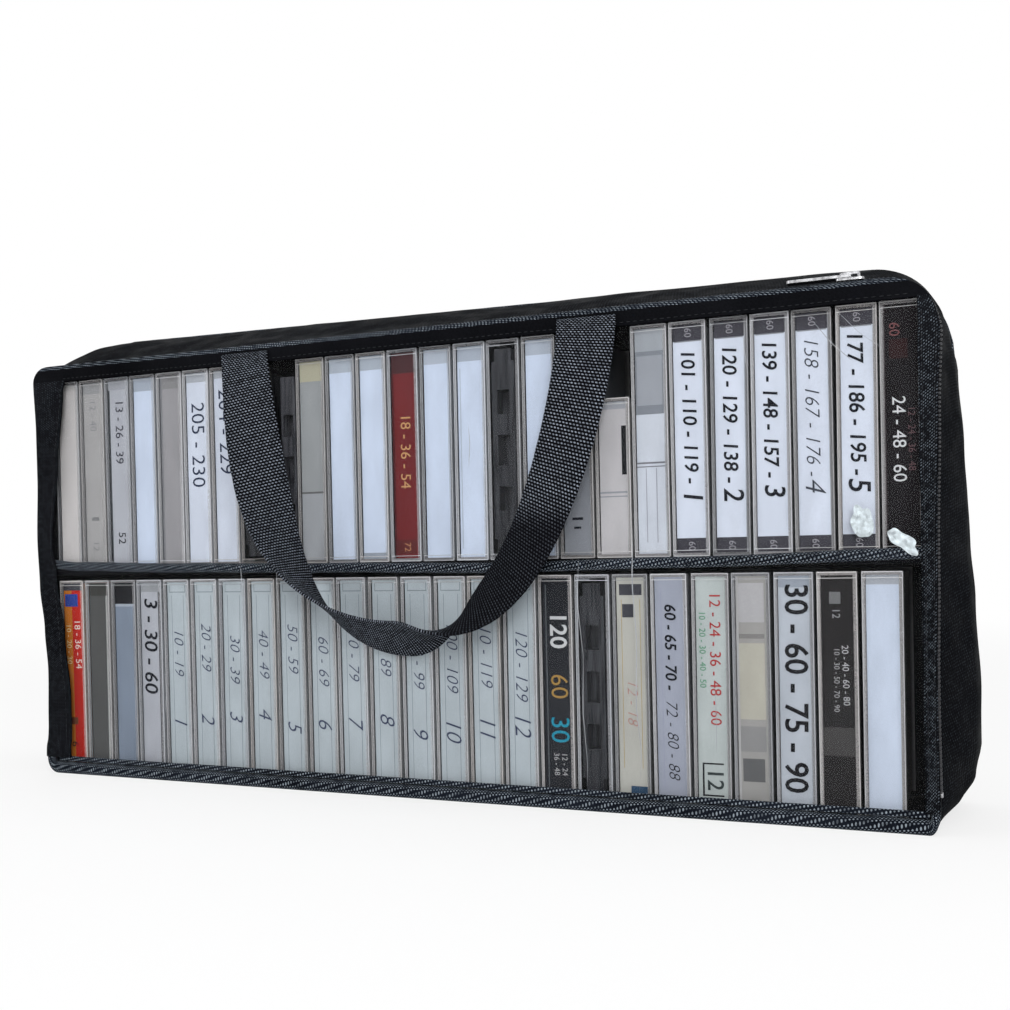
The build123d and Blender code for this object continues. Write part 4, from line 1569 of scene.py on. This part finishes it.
# Each card: its ground colour, then its printed patches (left, right, foot, head as shares of the card,
# colour), then its plain numbers (text, height, share across, share up, colour, stroke, slant).
UPPER_CARDS = {
    0: plain_card((0.56, 0.53, 0.51), head(0.97, (0.48, 0.46, 0.44))),
    1: (
        (0.36, 0.35, 0.34),
        (head(0.94, (0.28, 0.28, 0.28)), (0.3, 0.7, 0.24, 0.26, (0.2, 0.2, 0.2))),
        (
            ("12 - 40", 4.6, 0.5, 0.82, (0.24, 0.24, 0.25), *FINE),
            ("12", 4.4, 0.5, 0.1, (0.2, 0.2, 0.21), *FINE),
        ),
    ),
    2: (
        (0.42, 0.43, 0.46),
        ((0, 0.08, 0, 1, (0.05, 0.055, 0.06)), head(0.95, (0.34, 0.35, 0.37))),
        (
            ("13 - 26 - 39", 5.6, 0.54, 0.72, (0.045, 0.045, 0.06)),
            ("52", 5.2, 0.54, 0.14, (0.03, 0.03, 0.035)),
        ),
    ),
    3: plain_card(BLUE_WHITE, head(0.93, (0.36, 0.40, 0.46))),
    4: plain_card((0.31, 0.30, 0.305), head(0.93, (0.24, 0.235, 0.235)), (0, 0.1, 0, 1, (0.22, 0.22, 0.23))),
    5: (WHITE, (head(0.95, (0.42, 0.44, 0.47)),), (("205 - 230", 8.8, 0.5, 0.62, NAVY_INK, *FINE),)),
    6: (WHITE, (head(0.96, (0.42, 0.44, 0.47)),), (("204 - 229", 8.8, 0.5, 0.68, NAVY_INK, *FINE),)),
    8: plain_card(
        (0.29, 0.30, 0.30),
        head(0.9, (0.40, 0.38, 0.28)),
        (0, 1, 0.335, 0.345, (0.12, 0.12, 0.12)),
        (0, 1, 0, 0.335, (0.33, 0.34, 0.35)),
    ),
    9: plain_card(BLUE_WHITE, head(0.93, (0.40, 0.44, 0.49))),
    10: plain_card(BLUE_WHITE, head(0.93, (0.38, 0.42, 0.47)), (0, 1, 0.0, 0.03, (0.3, 0.33, 0.37))),
    11: (
        (0.15, 0.020, 0.022),
        (
            head(0.90, (0.06, 0.022, 0.024)),
            (0.1, 0.9, 0.02, 0.09, (0.10, 0.02, 0.02)),
            (0, 0.09, 0, 0.9, (0.08, 0.016, 0.018)),
        ),
        (
            ("18 - 36 - 54", 5.8, 0.52, 0.52, (0.55, 0.30, 0.13)),
            ("72", 3.6, 0.52, 0.055, (0.45, 0.2, 0.1)),
        ),
    ),
    12: plain_card(BLUE_WHITE, head(0.93, (0.42, 0.46, 0.52))),
    13: plain_card(BLUE_WHITE, head(0.93, (0.38, 0.42, 0.48)), (0.08, 0.12, 0.04, 0.9, (0.44, 0.49, 0.56))),
    15: plain_card(BLUE_WHITE, head(0.93, (0.40, 0.44, 0.50))),
    16: plain_card(
        (0.24, 0.25, 0.27),
        head(0.92, (0.15, 0.155, 0.17)),
        (0.3, 0.7, 0.16, 0.172, INK),
        (0.36, 0.62, 0.12, 0.13, INK),
    ),
    17: plain_card(
        (0.58, 0.61, 0.66),
        head(0.9, (0.34, 0.36, 0.38)),
        (0, 1, 0.62, 0.9, (0.22, 0.235, 0.26)),
        (0.06, 0.94, 0.66, 0.88, (0.32, 0.335, 0.36)),
        (0, 1, 0.40, 0.408, (0.2, 0.2, 0.22)),
        (0, 1, 0.385, 0.39, (0.2, 0.2, 0.22)),
        (0.3, 0.33, 0.05, 0.38, (0.35, 0.36, 0.4)),
        (0.66, 0.69, 0.05, 0.38, (0.35, 0.36, 0.4)),
    ),
    18: marked_card(("101 - 110 - 119 -", 6.5, 0.5, 0.60), ("1", 9.2, 0.55, 0.25)),
    19: marked_card(("120 - 129 - 138 -", 6.6, 0.48, 0.60), ("2", 9.2, 0.55, 0.25)),
    20: marked_card(("139 - 148 - 157 -", 6.5, 0.46, 0.61), ("3", 9.2, 0.55, 0.26)),
    21: marked_card(
        ("158 - 167 - 176 -", 6.5, 0.46, 0.61), ("4", 9.2, 0.5, 0.28), (0.05, 0.055, 0.07), PEN
    ),
    22: marked_card(("177 - 186 - 195 -", 6.6, 0.46, 0.61), ("5", 9.4, 0.5, 0.27)),
    23: (
        (0.0075, 0.0055, 0.0065),
        ((0, 0.03, 0, 1, (0.04, 0.03, 0.032)), (0.15, 0.7, 0.78, 0.86, (0.022, 0.008, 0.008))),
        (
            ("24 - 48 - 60", 5.6, 0.40, 0.45, (0.62, 0.62, 0.62)),
            ("12 - 24 - 36 - 48", 3.0, 0.78, 0.45, (0.11, 0.06, 0.065)),
            ("60", 4.4, 0.3, 0.9, (0.16, 0.06, 0.06)),
        ),
    ),
}
LOWER_CARDS = {
    0: (
        (0.55, 0.17, 0.02),
        (
            (0.42, 1, 0, 1, (0.50, 0.022, 0.014)),
            (0.05, 0.75, 0.87, 0.94, (0.03, 0.06, 0.30)),
            head(0.96, (0.06, 0.06, 0.07)),
            (0.15, 0.6, 0.21, 0.25, (0.16, 0.05, 0.02)),
        ),
        (
            ("18 - 36 - 54", 4.4, 0.70, 0.66, (0.80, 0.70, 0.62)),
            ("10 - 20 - 30", 3.6, 0.22, 0.66, (0.75, 0.62, 0.30)),
            ("6", 5.0, 0.4, 0.1, INK),
        ),
    ),
    1: plain_card(
        (0.085, 0.085, 0.082), (0.86, 0.95, 0, 1, (0.36, 0.37, 0.35)), head(0.93, (0.05, 0.05, 0.045))
    ),
    2: plain_card((0.21, 0.25, 0.31), head(0.885, BLACK), (0, 1, 0.87, 0.885, (0.36, 0.40, 0.45))),
    3: (
        (0.42, 0.43, 0.46),
        ((0.88, 1, 0, 1, BLACK), head(0.95, (0.3, 0.31, 0.32))),
        (("3 - 30 - 60", 9.2, 0.45, 0.66, INK, *MARKER),),
    ),
    **{number + 3: pen_card(number) for number in range(1, 13)},
    16: (
        (0.02, 0.021, 0.025),
        ((0.1, 0.14, 0.02, 0.97, (0.10, 0.11, 0.12)),),
        (
            ("12 - 24", 2.8, 0.72, 0.14, (0.4, 0.4, 0.4)),
            ("36 - 48", 2.8, 0.42, 0.14, (0.4, 0.4, 0.4)),
            ("30", 9.6, 0.55, 0.30, (0.02, 0.26, 0.36)),
            ("60", 9.0, 0.55, 0.50, (0.36, 0.22, 0.06), *FINE),
            ("120", 8.6, 0.55, 0.76, (0.62, 0.62, 0.62), 0.2, 0.0),
        ),
    ),
    18: (
        (0.46, 0.45, 0.40),
        (
            (0.16, 0.18, 0.14, 0.9, (0.40, 0.30, 0.12)),
            (0.82, 0.84, 0.14, 0.9, (0.40, 0.30, 0.12)),
            (0.1, 0.9, 0.92, 0.97, (0.05, 0.05, 0.06)),
            (0.4, 1, 0, 0.06, (0.03, 0.07, 0.13)),
            (0.2, 0.6, 0.82, 0.88, (0.05, 0.05, 0.06)),
        ),
        (("12 - 18", 5.4, 0.5, 0.44, (0.45, 0.24, 0.21), *PEN),),
    ),
    19: (
        (0.34, 0.36, 0.42),
        ((0.2, 0.22, 0.05, 0.95, (0.3, 0.31, 0.4)),),
        (
            ("60 - 65 - 70 -", 5.4, 0.5, 0.69, INK, *MARKER),
            ("72 - 80 - 88", 5.6, 0.52, 0.28, INK, *PEN),
        ),
    ),
    20: (
        (0.46, 0.50, 0.48),
        (
            (0, 1, 0, 0.02, GREY_DARK),
            (0.14, 0.86, 0.035, 0.042, BLACK),
            (0.14, 0.86, 0.175, 0.182, BLACK),
            (0.14, 0.2, 0.035, 0.182, BLACK),
        ),
        (
            ("12 - 24 - 36 - 48 - 60", 5.2, 0.62, 0.64, (0.42, 0.05, 0.05)),
            ("10 - 20 - 30 - 40 - 50", 3.0, 0.2, 0.68, (0.12, 0.32, 0.19)),
            ("12", 7.6, 0.55, 0.11, (0.04, 0.05, 0.05), 0.1, 0.0),
        ),
    ),
    21: plain_card(
        (0.33, 0.32, 0.30),
        (0.08, 0.92, 0.80, 0.97, (0.42, 0.41, 0.41)),
        (0.08, 0.92, 0.73, 0.75, (0.22, 0.21, 0.20)),
        (0.08, 0.92, 0.38, 0.71, (0.44, 0.42, 0.35)),
        (0.08, 0.92, 0.24, 0.35, (0.26, 0.255, 0.25)),
        (0.14, 0.86, 0.11, 0.21, (0.12, 0.12, 0.12)),
        (0.0, 0.08, 0.0, 1.0, (0.42, 0.41, 0.40)),
    ),
    22: (
        (0.46, 0.49, 0.53),
        (head(0.95, (0.3, 0.33, 0.37)),),
        (("30 - 60 - 75 - 90", 10.2, 0.5, 0.52, BLACK, 0.22, 0.0),),
    ),
    23: (
        (0.020, 0.018, 0.018),
        ((0.0, 1.0, 0.24, 0.36, (0.055, 0.052, 0.05)), (0.25, 0.6, 0.88, 0.93, (0.16, 0.16, 0.16))),
        (
            ("12", 3.4, 0.45, 0.84, (0.3, 0.3, 0.3)),
            ("20 - 40 - 60 - 80", 2.9, 0.72, 0.58, (0.45, 0.45, 0.45)),
            ("10 - 30 - 50 - 70 - 90", 2.4, 0.44, 0.56, (0.36, 0.36, 0.36)),
        ),
    ),
    24: plain_card((0.56, 0.62, 0.72), head(0.96, (0.38, 0.40, 0.43))),
}
SHORT_CARD = plain_card(
    (0.50, 0.48, 0.48),
    (0, 1, 0.40, 0.412, (0.28, 0.29, 0.31)),
    (0, 1, 0.375, 0.383, (0.28, 0.29, 0.31)),
    (0.80, 0.97, 0.52, 0.84, BLACK),
    head(0.95, (0.35, 0.36, 0.38)),
)


def make_cards():
    """The paper cards behind the spines, each with its own colours, bands and plain numbers."""
    paper = tinted("printed_card", 0.6, 0.12)
    groups = {row: bmesh.new() for row in ROWS}
    front, print_step, print_face = 1.62, 0.02, 0.22
    for row, number, x, foot, height in case_places():
        cards = {"upper": UPPER_CARDS, "lower": LOWER_CARDS, "short": {0: SHORT_CARD}}[row]
        if number not in cards:
            continue
        ground, patches, numbers = cards[number]
        bm = bmesh.new()
        x0, z0 = EDGE_BAND, 1.6
        x1, z1 = mm(case().width) - x0, height - z0
        wide, tall = x1 - x0, z1 - z0
        tile(bm, x0, x1, z0, z1, front, ground)
        for n, (a, b, c, d, tint) in enumerate(patches, 1):
            y = front - print_step * n
            tile(bm, x0 + wide * a, x0 + wide * b, z0 + tall * c, z0 + tall * d, y, tint)
        chance = lean_of(row, number)[2]
        for text, size, across, up, tint, *pen in numbers:
            place = (x0 + wide * across, front - print_face, z0 + tall * up)
            number_tile(bm, text, size, place, tint, chance.uniform(-0.02, 0.02), *pen)
        depth = mm(case().depth) - 6.0
        leaf = sheet(bm, 1, 1, lambda u, v: Vector((x1, front + depth * u, z0 + tall * v)))
        face_away(bm, leaf, (-500.0, 30.0, 50.0))
        paint(bm, leaf, [c * 0.9 for c in ground] if number < 24 else (0.42, 0.40, 0.34))
        bmesh.ops.transform(bm, matrix=case_matrix(row, number, x, foot), verts=bm.verts)
        mesh = template(bm)
        groups[row].from_mesh(mesh)
        bpy.data.meshes.remove(mesh)
    for row, bm in groups.items():
        add_piece(f"paper_{row}_cards", bm, "bag", [paper], (node_of(row, "card"),), smooth=False)


def make_cassettes():
    """Finishes for the cassettes in and beside the cases."""
    shell = moulded("cassette_shell", hue("cassette"))
    bare = moulded("bare_cassette", (0.035, 0.036, 0.042, 1.0), 0.28)
    hub = moulded("hub_plastic", hue("hub"), 0.4, 0.06)
    for node, material in (("upper_tapes", shell), ("lower_tapes", shell), ("bare_tape", bare)):
        cover(node, material)
    for node in ("upper_hubs", "lower_hubs", "bare_hubs"):
        cover(node, hub)


# --- the stage


def make_floor():
    """A pale floor that looks white to the camera and keeps the bag's shadow."""
    bm = bmesh.new()
    bmesh.ops.create_grid(bm, x_segments=1, y_segments=1, size=12.0)
    mesh = bpy.data.meshes.new("stage_floor")
    bm.to_mesh(mesh)
    bm.free()
    finish = Finish("white_floor", Roughness=0.9, Base_Color=(0.82, 0.82, 0.82, 1.0))
    far = finish.node("VectorMath", {0: finish.place()}, operation="LENGTH").outputs["Value"]
    share = finish.math("MULTIPLY", finish.seen(), finish.between(far, 0.35, 1.6, 0.72, 1.0))
    glow = finish.node("Emission", {"Color": (1.0, 1.0, 1.0, 1.0), "Strength": 1.0}).outputs[0]
    finish.shine_through(finish.blend(share, finish.shader.outputs[0], glow))
    mesh.materials.append(finish.material)
    floor_piece = bpy.data.objects.new("stage_floor", mesh)
    bpy.context.scene.collection.objects.link(floor_piece)
    floor_piece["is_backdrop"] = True


def make_world(strength):
    """Soft light all round, and white where the camera, metal and glass see it."""
    world = bpy.data.worlds.new("pale_room")
    bpy.context.scene.world = world
    world.use_nodes = True
    room = Nodes(world.node_tree)
    back = room.tree.nodes["Background"]
    back.inputs["Color"].default_value = (1.0, 1.0, 1.0, 1.0)
    room.put(back.inputs["Strength"], room.between(room.seen(), 0.0, 1.0, strength, 1.0))


def add_lamp(name, at, towards, width, height, power):
    """A soft rectangular lamp."""
    lamp = bpy.data.lights.new(name, "AREA")
    lamp.shape = "RECTANGLE"
    lamp.size, lamp.size_y = width, height
    lamp.energy = power
    holder = bpy.data.objects.new(name, lamp)
    holder.location = at
    holder.rotation_euler = (Vector(towards) - Vector(at)).to_track_quat("-Z", "Y").to_euler()
    bpy.context.scene.collection.objects.link(holder)


def make_camera(stage):
    """The camera at the photograph's angle."""
    a, e, r = stage.azimuth, stage.elevation, stage.roll
    back = Vector((sin(a) * cos(e), -cos(a) * cos(e), sin(e)))
    side = Vector((0.0, 0.0, 1.0)).cross(back).normalized()
    up = back.cross(side)
    side, up = side * cos(r) + up * sin(r), up * cos(r) - side * sin(r)
    lens = bpy.data.cameras.new("camera")
    lens.sensor_fit = "HORIZONTAL"
    lens.sensor_width = 36.0
    lens.lens = stage.lens
    lens.shift_x, lens.shift_y = stage.shift
    lens.clip_start = 0.02
    camera = bpy.data.objects.new("camera", lens)
    turn = Matrix((side, up, back)).transposed().to_4x4()
    camera.matrix_world = Matrix.Translation(Vector(stage.target) + back * stage.distance) @ turn
    bpy.context.scene.collection.objects.link(camera)
    bpy.context.scene.camera = camera


# --- operators


UNDOABLE = {"REGISTER", "UNDO"}
DONE = {"FINISHED"}


class TAPEBAG_OT_shell(bpy.types.Operator):
    """Builds the fabric walls and the base"""

    bl_idname = "tapebag.shell"
    bl_label = "Fabric shell"
    bl_options = UNDOABLE

    def execute(self, context):
        make_shell()
        return DONE


class TAPEBAG_OT_back(bpy.types.Operator):
    """Builds the back panel and its piping"""

    bl_idname = "tapebag.back"
    bl_label = "Back and piping"
    bl_options = UNDOABLE

    def execute(self, context):
        make_back()
        return DONE


class TAPEBAG_OT_hem(bpy.types.Operator):
    """Builds the rolled hem under the window"""

    bl_idname = "tapebag.hem"
    bl_label = "Front hem"
    bl_options = UNDOABLE

    def execute(self, context):
        make_hem()
        return DONE


class TAPEBAG_OT_border(bpy.types.Operator):
    """Builds the fabric strips round the window"""

    bl_idname = "tapebag.border"
    bl_label = "Window border"
    bl_options = UNDOABLE

    def execute(self, context):
        make_border()
        return DONE


class TAPEBAG_OT_window(bpy.types.Operator):
    """Builds the clear window and the painted highlights of its creases and glare patches"""

    bl_idname = "tapebag.window"
    bl_label = "Clear window"
    bl_options = UNDOABLE

    def execute(self, context):
        make_window()
        return DONE


class TAPEBAG_OT_zip(bpy.types.Operator):
    """Builds the zip's tapes, teeth and end stops"""

    bl_idname = "tapebag.zip"
    bl_label = "Zip rows"
    bl_options = UNDOABLE

    def execute(self, context):
        make_zip()
        return DONE


class TAPEBAG_OT_slider(bpy.types.Operator):
    """Finishes the zip's slider, bridge and pull tab"""

    bl_idname = "tapebag.slider"
    bl_label = "Zip slider"
    bl_options = UNDOABLE

    def execute(self, context):
        make_slider()
        return DONE


class TAPEBAG_OT_handles(bpy.types.Operator):
    """Builds the two webbing handles"""

    bl_idname = "tapebag.handles"
    bl_label = "Handles"
    bl_options = UNDOABLE

    def execute(self, context):
        make_handles()
        return DONE


class TAPEBAG_OT_shelf(bpy.types.Operator):
    """Builds the padded shelf, its binding and the base board"""

    bl_idname = "tapebag.shelf"
    bl_label = "Shelf"
    bl_options = UNDOABLE

    def execute(self, context):
        make_shelf()
        return DONE


class TAPEBAG_OT_cases(bpy.types.Operator):
    """Builds the clear cassette cases"""

    bl_idname = "tapebag.cases"
    bl_label = "Cassette cases"
    bl_options = UNDOABLE

    def execute(self, context):
        make_cases()
        return DONE


class TAPEBAG_OT_cards(bpy.types.Operator):
    """Builds the paper cards in the cases"""

    bl_idname = "tapebag.cards"
    bl_label = "Paper cards"
    bl_options = UNDOABLE

    def execute(self, context):
        make_cards()
        return DONE


class TAPEBAG_OT_cassettes(bpy.types.Operator):
    """Finishes the cassettes and their hubs"""

    bl_idname = "tapebag.cassettes"
    bl_label = "Cassettes"
    bl_options = UNDOABLE

    def execute(self, context):
        make_cassettes()
        return DONE


class TAPEBAG_OT_stage(bpy.types.Operator):
    """Builds the floor, the light and the camera"""

    bl_idname = "tapebag.stage"
    bl_label = "Stage"
    bl_options = UNDOABLE

    def execute(self, context):
        stage = context.scene.tape_bag_stage
        make_floor()
        make_world(stage.room_light)
        middle = (0.0, 0.0, 0.12)
        add_lamp("key_lamp", (0.75, -1.5, 0.75), middle, 1.0, 0.9, stage.key_light)
        add_lamp("fill_lamp", (-1.3, -0.9, 0.6), middle, 0.9, 0.9, stage.fill_light)
        add_lamp("top_lamp", (0.0, 0.1, 1.5), middle, 1.4, 1.0, stage.top_light)
        make_camera(stage)
        context.scene.view_settings.view_transform = "Standard"
        return DONE


class TAPEBAG_PT_panel(bpy.types.Panel):
    """Lists the operators that build the bag, with its sizes and colours"""

    bl_idname = "TAPEBAG_PT_panel"
    bl_label = "Cassette bag"
    bl_space_type = "VIEW_3D"
    bl_region_type = "UI"
    bl_category = "Cassette bag"

    def draw(self, context):
        column = self.layout.column(align=True)
        for operator in OPERATORS:
            column.operator(operator.bl_idname)
        for group in GROUPS:
            box = self.layout.box().column(align=True)
            settings = getattr(context.scene, group)
            for name in settings.bl_rna.properties.keys():
                if name not in ("rna_type", "name"):
                    box.prop(settings, name)


OPERATORS = (
    TAPEBAG_OT_stage,
    TAPEBAG_OT_shell,
    TAPEBAG_OT_back,
    TAPEBAG_OT_hem,
    TAPEBAG_OT_border,
    TAPEBAG_OT_window,
    TAPEBAG_OT_zip,
    TAPEBAG_OT_slider,
    TAPEBAG_OT_handles,
    TAPEBAG_OT_shelf,
    TAPEBAG_OT_cases,
    TAPEBAG_OT_cards,
    TAPEBAG_OT_cassettes,
)
GROUPS = {
    "tape_bag_sizes": TAPEBAG_BagSizes,
    "tape_bag_cases": TAPEBAG_CaseSizes,
    "tape_bag_colours": TAPEBAG_Colours,
    "tape_bag_stage": TAPEBAG_Stage,
}


def register():
    for made in (*GROUPS.values(), *OPERATORS, TAPEBAG_PT_panel):
        bpy.utils.register_class(made)
    for name, group in GROUPS.items():
        setattr(bpy.types.Scene, name, PointerProperty(type=group))


def unregister():
    for name in GROUPS:
        delattr(bpy.types.Scene, name)
    for made in reversed((*GROUPS.values(), *OPERATORS, TAPEBAG_PT_panel)):
        bpy.utils.unregister_class(made)


def plain(box):
    """A box as lists of numbers."""
    return [[float(value) for value in corner] for corner in box]


def main():
    register()
    for operator in OPERATORS:
        getattr(bpy.ops.tapebag, operator.bl_idname.split(".")[1])()
    {"cad": plain(CAD_BOX), "visual": plain(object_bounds())}


if __name__ == "__main__":
    main()
